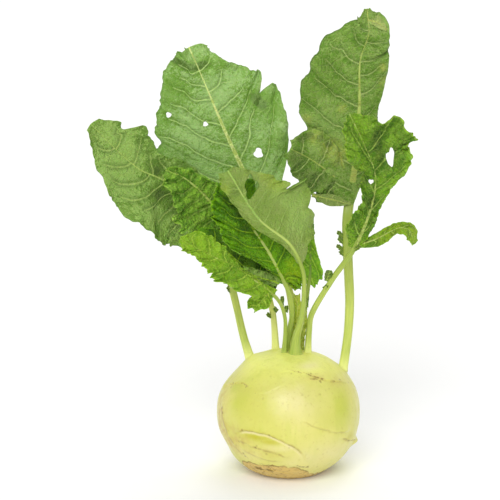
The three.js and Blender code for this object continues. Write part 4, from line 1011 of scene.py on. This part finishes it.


# Blade: a waxy green and a rubbed deeper green in wandering patches, pale veins from the stored
# phase, their branches, a fine net, and a greyer underside. The net also raises the surface. Painted
# shade darkens the furrow beside each vein, and painted shadow the shade and dark patches.
def bladeMaterial(name, look):
    material, tree, shader = newMaterial("blade_" + name)
    tone = addNode(tree, "ShaderNodeVertexColor", layer_name="tone")
    mark = addNode(tree, "ShaderNodeVertexColor", layer_name="mark")
    parts = addNode(tree, "ShaderNodeSeparateColor", {"Color": tone.outputs["Color"]})
    marks = addNode(tree, "ShaderNodeSeparateColor", {"Color": mark.outputs["Color"]})
    phase, slope, width = parts.outputs["Red"], parts.outputs["Green"], parts.outputs["Blue"]
    margin = tone.outputs["Alpha"]
    under, ribWidth, yellow = marks.outputs["Red"], marks.outputs["Green"], marks.outputs["Blue"]
    grey = mark.outputs["Alpha"]
    uv = addNode(tree, "ShaderNodeUVMap", uv_map="UVMap").outputs["UV"]
    flat = addNode(tree, "ShaderNodeSeparateXYZ", {"Vector": uv})
    lateral = times(tree, calc(tree, "ABSOLUTE", less(tree, flat.outputs["X"], 0.5)), 100.0)
    lane = calc(tree, "PINGPONG", phase, 0.5)
    near = less(tree, calc(tree, "DIVIDE", lane, slope), width)
    ribNear = less(tree, lateral, ribWidth)
    patches = noise(tree, uv, look.get("patchScale", 5.0), 5.0, 0.6)
    mottle = noise(tree, uv, 38.0, 4.0)
    broad = noise(tree, uv, 14.0, 3.0)
    grain = noise(tree, uv, 95.0, 3.0, 0.6)
    branch = calc(tree, "DIVIDE", lateral, leafFinish["branchGap"])
    branch = less(tree, branch, times(tree, lane, 2.2))
    branch = plus(tree, branch, times(tree, broad, 1.6))
    branch = times(tree, calc(tree, "PINGPONG", branch, 0.5), leafFinish["branchGap"] * 0.8)
    branchLine = times(tree, spread(tree, branch, 0.05, 0.42, 1.0, 0.0),
        spread(tree, margin, 0.65, 0.95, 1.0, 0.0))
    cells = addNode(tree, "ShaderNodeTexVoronoi", {"Vector": uv, "Scale": leafFinish["netScale"]},
        feature="DISTANCE_TO_EDGE")
    tiny = addNode(tree, "ShaderNodeTexVoronoi", {"Vector": uv, "Scale": leafFinish["netScale"] * 2.8},
        feature="DISTANCE_TO_EDGE")
    net = spread(tree, cells.outputs["Distance"], 0.01, 0.1, 1.0, 0.0)
    tinyNet = spread(tree, tiny.outputs["Distance"], 0.01, 0.14, 1.0, 0.0)
    veinPaint = paint(look["vein"])
    rub = plus(tree, patches, times(tree, spread(tree, margin, 0.6, 1.0), 0.07))
    rub = less(tree, rub, times(tree, grey, 0.25))
    rub = plus(tree, rub, times(tree, less(tree, mottle, 0.5), 0.8))
    rub = plus(tree, rub, times(tree, less(tree, grain, 0.5), 1.0))
    green = mixColour(tree, spread(tree, rub, 0.42, 0.6), paint(look["top"]), paint(look["deep"]))
    green = coat(tree, green, spread(tree, broad, 0.52, 0.75, 0.0, 0.35), look["patch"])
    green = coat(tree, green, times(tree, yellow, spread(tree, mottle, 0.3, 0.65, 0.2, 0.75)),
        look["yellow"])
    # painted shadow: where the shade and dark patches add up, the green falls towards 0.62 of the deep green
    green = coat(tree, green, spread(tree, grey, -2.6, -1.1, 0.75, 0.0),
        [0.62 * part for part in look["deep"]])
    # painted shade in the furrow beside each vein, where the puffed flesh dips to it: down to 0.8 of the deep
    # green
    furrowShade = times(tree, spread(tree, near, 0.2, 0.6, 0.0, look.get("furrowShade", 0.5)),
        spread(tree, near, 0.7, 2.6, 1.0, 0.0))
    furrowShade = times(tree, furrowShade, spread(tree, width, 0.0, 0.12))
    green = coat(tree, green, furrowShade, [0.8 * part for part in look["deep"]])
    green = coat(tree, green, spread(tree, near, 2.2, 5.0, 0.0, 0.25), look["patch"])
    green = coat(tree, green, spread(tree, margin, 0.94, 0.985, 0.0, look.get("edge", 0.5)), look["patch"])
    green = coat(tree, green, spread(tree, margin, 0.965, 0.995, 0.0, look.get("rim", 0.0)),
        [0.7 * part for part in look["deep"]])
    green = mixColour(tree, times(tree, net, look.get("net", 0.14)), green, veinPaint)
    green = mixColour(tree, times(tree, tinyNet, 0.5 * look.get("net", 0.14)), green, veinPaint)
    green = mixColour(tree, times(tree, branchLine, 0.3), green, veinPaint)
    side = times(tree, spread(tree, near, -0.05, 0.34, 0.85, 0.0), spread(tree, width, 0.0, 0.12))
    green = mixColour(tree, side, green, veinPaint)
    green = coat(tree, green, spread(tree, ribNear, -0.25, 0.3, 1.0, 0.0), look["rib"])
    pale = mixColour(tree, spread(tree, patches, 0.35, 0.65), paint(look["under"]),
        paint(look["underDeep"]))
    pale = coat(tree, pale, spread(tree, mottle, 0.4, 0.7, 0.0, 0.4), look["underDeep"])
    pale = coat(tree, pale, spread(tree, grain, 0.5, 0.72, 0.0, 0.45),
        [0.85 * part for part in look["underDeep"]])
    pale = coat(tree, pale, spread(tree, grey, 0.0, 1.0, 0.0, 0.7), look["underVein"])
    # painted shade on the underside where the deep, shade and dark patches lie
    pale = coat(tree, pale, spread(tree, grey, -1.0, 0.0, 0.7, 0.0),
        [0.8 * part for part in look["underDeep"]])
    pale = coat(tree, pale, times(tree, yellow, 0.6), look["yellow"])
    pale = coat(tree, pale, times(tree, net, 0.16), look["underVein"])
    pale = coat(tree, pale, times(tree, branchLine, 0.35), look["underVein"])
    pale = coat(tree, pale, times(tree, side, 0.85), look["underVein"])
    pale = coat(tree, pale, spread(tree, ribNear, -0.25, 0.3, 1.0, 0.0), look["rib"])
    colour = mixColour(tree, under, green, pale)
    gloss = spread(tree, mottle, 0.3, 0.7, leafFinish["roughness"] - 0.06, leafFinish["roughness"] + 0.14)
    height = times(tree, tinyNet, -0.3)
    height = plus(tree, height, times(tree, net, -0.7))
    height = plus(tree, height, times(tree, branchLine, -0.6))
    height = plus(tree, height, times(tree, mottle, 1.8))
    height = plus(tree, height, times(tree, grain, 0.7))
    height = less(tree, height, side)
    bump = addNode(tree, "ShaderNodeBump", {"Height": height, "Strength": look.get("bump", 0.5),
        "Distance": leafFinish["bumpDepth"]})
    fillInputs(tree, shader, {"Base Color": colour, "Roughness": gloss, "Normal": bump.outputs["Normal"],
        "Subsurface Weight": leafFinish["glow"], "Subsurface Radius": leafFinish["glowColour"],
        "Subsurface Scale": leafFinish["glowDepth"], "Specular IOR Level": leafFinish["shine"]})
    return material


stalkFinish = {
    "pale": (210, 218, 110),
    "green": (150, 178, 60),
    # high: darker olive of the upper stalk, partly its own colour and partly painted shade
    "high": (132, 158, 50),
    "rib": (180, 200, 100),
    "foot": (240, 243, 150),
    "roughness": 0.36,
    "glow": 0.25,
    "glowColour": (1.0, 0.9, 0.3),
    "glowDepth": 0.003,  # metres
}


# Stalk: pale yellow green, greener in long streaks, darker olive towards the blade, partly its own
# colour and partly painted shade on the upper stalk, paler at the foot.
def stalkMaterial(name, greenness, dark, wash, ribColour):
    material, tree, shader = newMaterial("stalk_" + name)
    tone = addNode(tree, "ShaderNodeVertexColor", layer_name="tone")
    parts = addNode(tree, "ShaderNodeSeparateColor", {"Color": tone.outputs["Color"]})
    along = parts.outputs["Blue"]
    long = addNode(tree, "ShaderNodeCombineXYZ", {"X": times(tree, parts.outputs["Red"], 5.0),
        "Y": times(tree, parts.outputs["Green"], 5.0), "Z": times(tree, along, 4.0)})
    streaks = noise(tree, long.outputs[0], 2.2, 5.0)
    place = addNode(tree, "ShaderNodeTexCoord").outputs["Object"]
    spots = noise(tree, place, 260.0, 3.0)
    colour = mixColour(tree, spread(tree, streaks, 0.35, 0.68, greenness * 0.4, greenness),
        paint(stalkFinish["pale"]), paint(stalkFinish["green"]))
    colour = coat(tree, colour, spread(tree, along, 0.0, 0.14 + 0.4 * wash, 0.85, 0.0), stalkFinish["foot"])
    # darker olive up the stalk, partly its own colour and partly painted shade; dark sets how much low down
    climb = spread(tree, along, 0.3, 0.95, dark, min(dark + 1.4 * greenness, 0.9))
    colour = coat(tree, colour, climb, stalkFinish["high"])
    colour = coat(tree, colour, spread(tree, tone.outputs["Alpha"], 0.0, 0.25), ribColour)
    colour = coat(tree, colour, spread(tree, spots, 0.62, 0.75, 0.0, 0.25), stalkFinish["green"])
    gloss = spread(tree, streaks, 0.3, 0.7, stalkFinish["roughness"] - 0.05,
        stalkFinish["roughness"] + 0.14)
    bump = addNode(tree, "ShaderNodeBump", {"Height": streaks, "Strength": 0.35, "Distance": 0.0006})
    fillInputs(tree, shader, {"Base Color": colour, "Roughness": gloss, "Normal": bump.outputs["Normal"],
        "Subsurface Weight": stalkFinish["glow"], "Subsurface Radius": stalkFinish["glowColour"],
        "Subsurface Scale": stalkFinish["glowDepth"]})
    return material


bulbFinish = {
    "flesh": (226, 221, 126),
    "shade": (211, 210, 98),
    # cream: the skin's own cream, and in the broad patch high on the front a painted highlight
    "creamAndHighlight": (233, 224, 160),
    # crown: a lighter colour for the top of the bulb, painted light that lifts the top out of the leaves'
    # shade
    "crown": (246, 248, 136),
    # green: the skin's own green, and on the two sides partly painted shade
    "green": (196, 205, 70),
    "yellow": (196, 190, 52),
    "buff": (198, 168, 92),
    # crease: tan of the fine specks and of the crease lines, the lines partly painted shade
    "crease": (178, 154, 72),
    # pale: the painted highlight along each scar's lip
    "pale": (236, 227, 164),
    "brown": (136, 110, 44),
    "cork": (222, 194, 116),
    "corkDark": (172, 138, 72),
    "roughness": 0.34,
    "glow": 0.25,
    "glowColour": (1.0, 0.85, 0.3),
    "glowDepth": 0.003,  # metres
    "shine": 0.4,
    "bloom": 0.12,  # the faint waxy haze
    "bloomSoftness": 0.4,
}


# Bulb: waxy pale green, yellower in soft patches, with faint lengthwise strands, tan creases with a
# pale lip at the scars, brown dashes and specks, and a corky rim round the cut. The top is lightened
# as painted light, the pale lip is a painted highlight, the tan creases are partly painted shade, the
# cream partly a painted highlight and the green on the sides partly painted shade.
def bulbMaterial():
    material, tree, shader = newMaterial("bulb_skin")
    tone = addNode(tree, "ShaderNodeVertexColor", layer_name="tone")
    mark = addNode(tree, "ShaderNodeVertexColor", layer_name="mark")
    lines = addNode(tree, "ShaderNodeSeparateColor", {"Color": tone.outputs["Color"]})
    marks = addNode(tree, "ShaderNodeSeparateColor", {"Color": mark.outputs["Color"]})
    place = addNode(tree, "ShaderNodeTexCoord").outputs["Object"]
    soft = noise(tree, place, 20.0, 4.0)
    broad = noise(tree, place, 60.0, 4.0)
    grain = noise(tree, place, 210.0, 5.0)
    fine = noise(tree, place, 560.0, 4.0)
    tall = addNode(tree, "ShaderNodeMapping", {"Vector": place, "Scale": (1.0, 1.0, 0.16)})
    strands = noise(tree, tall.outputs["Vector"], 150.0, 4.0)

    # a named colour of the finish over the colour so far
    def layer(colour, factor, name):
        return coat(tree, colour, factor, bulbFinish[name])

    # the factor times the eased share of a pattern
    def masked(factor, pattern, low, high, start=0.0, end=1.0):
        return times(tree, factor, spread(tree, pattern, low, high, start, end))

    colour = mixColour(tree, spread(tree, soft, 0.36, 0.62), paint(bulbFinish["shade"]),
        paint(bulbFinish["flesh"]))
    level = addNode(tree, "ShaderNodeSeparateXYZ", {"Vector": place}).outputs["Z"]
    # painted light: the top of the bulb, from 56 mm up, lightened with the crown colour
    colour = layer(colour, masked(spread(tree, level, 0.056, 0.074), broad, 0.3, 0.6, 0.55, 0.9), "crown")
    colour = layer(colour, spread(tree, strands, 0.5, 0.72, 0.0, 0.3), "green")
    # cream marks, with a painted highlight high on the front, and green marks, partly painted shade on the
    # sides
    colour = layer(colour, masked(marks.outputs["Green"], broad, 0.3, 0.6, 0.6, 1.0), "creamAndHighlight")
    colour = layer(colour, masked(marks.outputs["Red"], broad, 0.3, 0.6, 0.7, 1.0), "green")
    colour = layer(colour, masked(mark.outputs["Alpha"], grain, 0.35, 0.62, 0.35, 1.0), "buff")
    colour = layer(colour, masked(marks.outputs["Blue"], grain, 0.3, 0.55, 0.75, 1.0), "yellow")
    colour = layer(colour, spread(tree, fine, 0.55, 0.75, 0.0, 0.22), "crease")
    # tan crease lines: partly the scars' own tan, partly painted shade in the creases
    tanAndCreaseShade = masked(spread(tree, lines.outputs["Red"], 0.2, 1.7, 0.6, 0.0), grain, 0.34, 0.58, 0.1, 1.0)
    colour = layer(colour, tanAndCreaseShade, "crease")
    # painted highlight along the lower edge of each scar's lip
    lipHighlight = masked(spread(tree, lines.outputs["Blue"], 0.2, 1.4, 0.9, 0.0), grain, 0.3, 0.5, 0.5, 1.0)
    colour = layer(colour, lipHighlight, "pale")
    brownLine = masked(spread(tree, lines.outputs["Green"], 0.3, 1.3, 0.75, 0.0), grain, 0.46, 0.58)
    brownLine = masked(brownLine, fine, 0.4, 0.56)
    colour = layer(colour, brownLine, "brown")
    dots = addNode(tree, "ShaderNodeTexVoronoi", {"Vector": place, "Scale": 210.0, "Randomness": 1.0})
    few = spread(tree, lines.outputs["Green"], 1.0, 5.0, 0.9, 0.0)
    few = calc(tree, "MAXIMUM", few, spread(tree, noise(tree, place, 34.0, 2.0), 0.62, 0.7, 0.0, 0.25))
    dot = times(tree, spread(tree, dots.outputs["Distance"], 0.08, 0.24, 1.0, 0.0), few)
    colour = layer(colour, times(tree, dot, 0.7), "brown")
    ragged = plus(tree, tone.outputs["Alpha"], times(tree, grain, 3.0))
    corkMask = spread(tree, ragged, 1.3, 1.9, 1.0, 0.0)
    corkLip = times(tree, spread(tree, ragged, 0.2, 1.5), spread(tree, ragged, 1.5, 2.3, 1.0, 0.0))
    bark = mixColour(tree, spread(tree, fine, 0.3, 0.5), paint(bulbFinish["corkDark"]),
        paint(bulbFinish["cork"]))
    bark = layer(bark, spread(tree, broad, 0.45, 0.6, 0.0, 0.6), "cork")
    bark = layer(bark, masked(spread(tree, lines.outputs["Green"], 0.6, 2.6, 0.95, 0.0), grain, 0.38,
        0.5), "brown")
    colour = mixColour(tree, corkMask, colour, bark)
    colour = layer(colour, masked(corkLip, broad, 0.42, 0.56, 0.1, 0.7), "brown")
    gloss = spread(tree, grain, 0.3, 0.7, bulbFinish["roughness"] - 0.04, bulbFinish["roughness"] + 0.14)
    gloss = plus(tree, gloss, times(tree, corkMask, 0.4))
    height = plus(tree, times(tree, grain, 0.5), times(tree, strands, 0.5))
    height = plus(tree, height, times(tree, fine, 0.3))
    height = less(tree, height, times(tree, dot, 0.6))
    height = less(tree, height, times(tree, brownLine, 0.7))
    height = plus(tree, height, times(tree, corkMask, times(tree, fine, 2.5)))
    bump = addNode(tree, "ShaderNodeBump", {"Height": height, "Strength": 0.45, "Distance": 0.0009})
    fillInputs(tree, shader, {"Base Color": colour, "Roughness": gloss, "Normal": bump.outputs["Normal"],
        "Subsurface Weight": bulbFinish["glow"], "Subsurface Radius": bulbFinish["glowColour"],
        "Subsurface Scale": bulbFinish["glowDepth"], "Specular IOR Level": bulbFinish["shine"],
        "Sheen Weight": bulbFinish["bloom"], "Sheen Roughness": bulbFinish["bloomSoftness"]})
    return material


# Bulb surface: the squarish profile with low lobes and swellings, steps and lips along the creases,
# flesh drawn up round each foot, and a flat cut below. Its tone holds the distances in mm to tan lines,
# partly painted shade, to brown lines and to pale lines, a painted highlight, and the height above the
# cork. Its mark holds green, partly painted shade on the sides, cream, partly a painted highlight,
# yellow and tan.
def makeBulb(feet):
    around, rings = bulbForm["around"], bulbForm["rings"]
    widest, height, drop = bulbForm["widest"], bulbForm["height"], bulbForm["baseDrop"]
    low = -math.asin(widest / drop)
    turn = low + (np.pi / 2 - low) * np.arange(rings) / rings
    half = np.where(turn > 0, height - widest, drop)
    z = widest + half * np.sin(turn)
    z[0] = 0
    angle = np.linspace(0, 2 * np.pi, around, endpoint=False)
    zz, aa = np.meshgrid(z, angle, indexing="ij")
    radius = bulbRadius(zz)
    levels = np.linspace(0, height, 400)
    climb = np.hypot(np.gradient(bulbRadius(levels)), np.gradient(levels))
    climb = np.cumsum(climb) - climb[0]
    upHere = np.interp(zz, levels, climb)
    relief = 0.3 * np.sin(3 * aa + 0.6) + 0.2 * np.sin(5 * aa + 2 + zz / 18)
    lines = {kind: np.full_like(zz, 9.0) for kind in ("tan", "brown", "pale")}
    for number, crease in enumerate(creases):
        span = math.radians(crease["to"] - crease["from"])
        share = np.mod(aa - math.radians(crease["from"]), 2 * np.pi) / span
        level = valueAlong(crease["heights"], share)
        before, after = (valueAlong(crease["heights"], share + d) for d in (-0.01, 0.01))
        slope = (after - before) / 0.02
        steep = np.hypot(1, slope / (span * bulbForm["width"] * 0.45))
        away = (upHere - np.interp(level, levels, climb)) / steep
        away += 0.35 * wander(share * 14, 40 + number) + 0.12 * wander(share * 60, 70 + number)
        ends = np.clip(np.minimum(share, 1 - share) * 5, 0, 1)
        ends = ends * ends * (3 - 2 * ends)
        above = 0.5 + 0.5 * np.tanh(away / 0.45)
        stand = above * np.exp(-np.maximum(away, 0) / crease["reach"])
        stand -= 0.4 * (1 - above) * np.exp(np.minimum(away, 0) / crease["reach"])
        relief += crease["step"] * ends * stand
        relief += crease.get("lip", 0.15) * ends * np.exp(-(((away - 0.5) / 0.7) ** 2))
        for kind in lines:
            # the pale line, a painted highlight at the lip's lower edge, lies 1.1 mm below the crease
            shift = -1.1 if kind == "pale" else 0.0
            near = np.abs(away - shift) + 3 * (1 - ends) + 1.2 * (1 - crease.get(kind, -9))
            lines[kind] = np.minimum(lines[kind], near)

    # bell shape exp(-across^2 - along^2) round an angle and a height
    def blot(at, level, wide, tall):
        side = np.mod(aa - math.radians(at) + np.pi, 2 * np.pi) - np.pi
        across = side * np.maximum(radius, 8) / wide
        along = (upHere - np.interp(level, levels, climb)) / tall
        return np.exp(-across * across - along * along)

    for at, level, wide, tall, stand in swellings:
        relief += stand * blot(at, level, wide, tall)
    marks = {kind: np.zeros_like(zz) for kind in ("green", "creamAndHighlight", "yellow", "tan")}
    for at, level, wide, tall, kind, strength in blots:
        marks[kind] = np.maximum(marks[kind], strength * blot(at, level, wide, tall))
    ease = np.minimum(zz / 9, 1) * np.minimum((height - zz) / 6, 1)
    radius = radius + ease * relief + (1.1 + 0.8 * np.cos(aa + 0.3)) * np.exp(-zz / 3)
    point = np.stack([radius * np.cos(aa), radius * np.sin(aa), zz], -1)
    crown = np.zeros_like(zz)
    rise = np.zeros_like(zz)
    for foot in feet:
        away = np.linalg.norm(point - foot, axis=-1)
        rise = np.maximum(rise, np.exp(-((away / bulbForm["crownSpread"]) ** 2)))
        crown = np.maximum(crown, np.exp(-((away / 8) ** 2)))
    point[..., 2] += bulbForm["crownRise"] * rise
    marks["green"] = np.maximum(marks["green"], 0.2 * crown)
    front = np.exp(-((np.mod(aa + math.radians(110) + np.pi, 2 * np.pi) - np.pi) / 0.72) ** 6)
    back = np.exp(-((np.mod(aa - math.radians(80) + np.pi, 2 * np.pi) - np.pi) / 0.6) ** 4)
    corkTop = 3.4 + 9.4 * front + 5 * back + 0.9 * wander(aa * 9, 21) + 0.5 * wander(aa * 31, 22)
    cork = zz - corkTop
    point[..., :2] *= (1 + 0.012 * (np.clip(-cork / 3, 0, 1) * wander(aa * 17 + zz * 1.5, 24)))[..., None]
    point[0, :, 2] = 0
    tone = np.stack([lines["tan"], lines["brown"], lines["pale"], cork], -1).reshape(-1, 4)
    mark = np.stack([marks["green"], marks["creamAndHighlight"], marks["yellow"], marks["tan"]], -1).reshape(-1, 4)
    quads = gridQuads(rings, around, wrap=True)
    k = np.arange(around)
    bottom = np.stack([np.full(around, rings * around), (k + 1) % around, k], -1)
    last = (rings - 1) * around
    top = np.stack([np.full(around, rings * around + 1), last + k, last + (k + 1) % around], -1)
    points = np.concatenate([point.reshape(-1, 3), [[0, 0, 0], [0, 0, height + 0.05]]])
    tone = np.concatenate([tone, [[9, 9, 9, -5], [9, 9, 9, height]]])
    mark = np.concatenate([mark, [[0, 0, 0, 0], [0.3, 0, 0, 0]]])
    return points, [quads, bottom, top], tone, mark


# gives a piece its material and its body, and hides the CAD nodes that it stands for
def finishPiece(piece, material, nodes):
    piece.data.materials.append(material)
    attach(piece, "root")
    if nodes:
        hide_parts(*nodes)


curves = {plan["name"]: spineCurve(plan["spine"]) for plan in leaves}

for number, plan in enumerate(leaves):
    name, curve = plan["name"], curves[plan["name"]]
    look = looks[name]
    seed = 11 * number + 3
    sheets = [bladeSheet(plan, curve, plan["bladeFrom"], look, seed)]
    for lobe in plan.get("lobes", []):
        sheets.append(bladeSheet(lobe, spineCurve(lobe["spine"]), 0.0, look, seed + 5,
            lobe.get("fineness", 0.45)))
    points, faces, uv, tone, mark = joinSheets(sheets)
    blade = makeMesh("blade_" + name, points, [faces], uv, tone, mark)
    finishPiece(blade, bladeMaterial(name, look), [name + "_blade"])
    points, faces, tone = stalkSurface(plan, curve, seed)
    stalk = makeMesh("stalk_" + name, points, faces, None, tone)
    shades = [plan.get("greenness", 0.55), plan.get("dark", 0.0), plan.get("wash", 0.0)]
    finishPiece(stalk, stalkMaterial(name, *shades,
        look.get("stalkRib", stalkFinish["rib"])), [name + "_stalk"])
    print("leaf", name, "has", len(blade.data.polygons), "and", len(stalk.data.polygons), "faces")

axilLook = dict(looks["inner_left"], veins=3, pucker=0.2, frill=0.3, teeth=0.02, fine=26, furrowShade=0.1,
    top=(140, 168, 76),
    deep=(100, 134, 40), patch=(150, 176, 84))
sheets = []
for number, small in enumerate(axilLeaves):
    foot, tip = np.array(small["foot"], float), np.array(small["tip"], float)
    line = curveThrough([foot, (foot + tip) / 2 - [0, 0, 0.4], tip])
    half = [share * small["half"] for share in (0.5, 1.0, 1.15, 0.4)]
    plan = smallPlan(half, [[0.1, -1, 0.3], [0.1, -1, 0.6]])
    sheets.append(bladeSheet(plan, line, 0.0, axilLook, 60 + number))
points, faces, uv, tone, mark = joinSheets(sheets)
axil = makeMesh("axil_leaves", points, [faces], uv, tone, mark)
finishPiece(axil, bladeMaterial("axil", axilLook), [])

youngLook = dict(looks["low_left"], furrowShade=0.1, veins=4, pucker=0.3, frill=1.1, teeth=0.12, fine=46,
    top=(214, 224, 84),
    deep=(184, 202, 56), patch=(226, 230, 120), under=(208, 218, 96), rib=(220, 228, 120))
sheets = []
for number, small in enumerate(youngLeaves):
    plan = smallPlan(small["half"], [[0, -1, 0], [0, -1, 0.4]])
    sheets.append(bladeSheet(plan, curveThrough(small["spine"]), 0.0, youngLook, 80 + number))
points, faces, uv, tone, mark = joinSheets(sheets)
young = makeMesh("young_leaves_piece", points, [faces], uv, tone, mark)
finishPiece(young, bladeMaterial("young", youngLook), ["young_leaves"])

feet = [curve[0][0] + [0, 0, bulbForm["socket"]] for curve in curves.values()]
points, faces, tone, mark = makeBulb(feet)
bulb = makeMesh("bulb_skin", points, faces, None, tone, mark)
finishPiece(bulb, bulbMaterial(), ["bulb"])
print("bulb has", len(bulb.data.polygons), "faces")


studio = {
    "floorSize": 16.0,
    "floorColour": (252, 252, 251),
    "floorGlow": 0.05,
    "worldColour": (1.0, 1.0, 1.0),
    "worldStrength": 0.5,
    "keyTurn": -12.0,  # degrees left of the camera
    "keyRise": 37.0,  # degrees above the floor
    "keySpread": 38.0,
    "keyPower": 1.7,
    "topTurn": 165.0,
    "topRise": 64.0,
    "topSpread": 40.0,
    "topPower": 0.85,
}

half = studio["floorSize"] / 2
floorPoints = np.array([[-half, -half, 0], [half, -half, 0], [half, half, 0], [-half, half, 0]]) / mm
floor = makeMesh("floor", floorPoints, [np.array([[0, 1, 2, 3]])])
floorMaterial, floorTree, floorShader = newMaterial("floor_paper")
fillInputs(floorTree, floorShader, {"Base Color": paint(studio["floorColour"]), "Roughness": 0.9,
    "Emission Color": (1, 1, 1, 1), "Emission Strength": studio["floorGlow"], "Specular IOR Level": 0.1})
floor.data.materials.append(floorMaterial)

world = bpy.data.worlds.new("studio")
bpy.context.scene.world = world
world.use_nodes = True
background = world.node_tree.nodes.get("Background") or world.node_tree.nodes.new("ShaderNodeBackground")
background.inputs["Color"].default_value = (*studio["worldColour"], 1)
background.inputs["Strength"].default_value = studio["worldStrength"]


# a far, wide light from a turn and a rise in degrees
def softLight(name, turn, rise, width, power):
    lamp = bpy.data.lights.new(name, "SUN")
    lamp.angle = math.radians(width)
    lamp.energy = power
    holder = bpy.data.objects.new(name, lamp)
    bpy.context.scene.collection.objects.link(holder)
    holder.rotation_euler = (math.radians(90 - rise), 0, math.radians(turn))
    return holder


for label in ("key", "top"):
    softLight(label, *[studio[label + part] for part in ("Turn", "Rise", "Spread", "Power")])

cameraView = {
    "elevation": 12.0,
    "distance": 1.3,
    "frame": 0.3,  # width of the view at that distance
    "aim": (-0.0231, 0.0, 0.137),
}

lens = bpy.data.cameras.new("camera")
lens.sensor_width = 36.0
lens.lens = 36.0 * cameraView["distance"] / cameraView["frame"]
lens.clip_end = 40.0
camera = bpy.data.objects.new("camera", lens)
bpy.context.scene.collection.objects.link(camera)
tilt = math.radians(cameraView["elevation"])
aim = cameraView["aim"]
camera.location = (aim[0], aim[1] - cameraView["distance"] * math.cos(tilt),
    aim[2] + cameraView["distance"] * math.sin(tilt))
camera.rotation_euler = (math.pi / 2 - tilt, 0, 0)
bpy.context.scene.camera = camera
bpy.context.scene.view_settings.view_transform = "Standard"
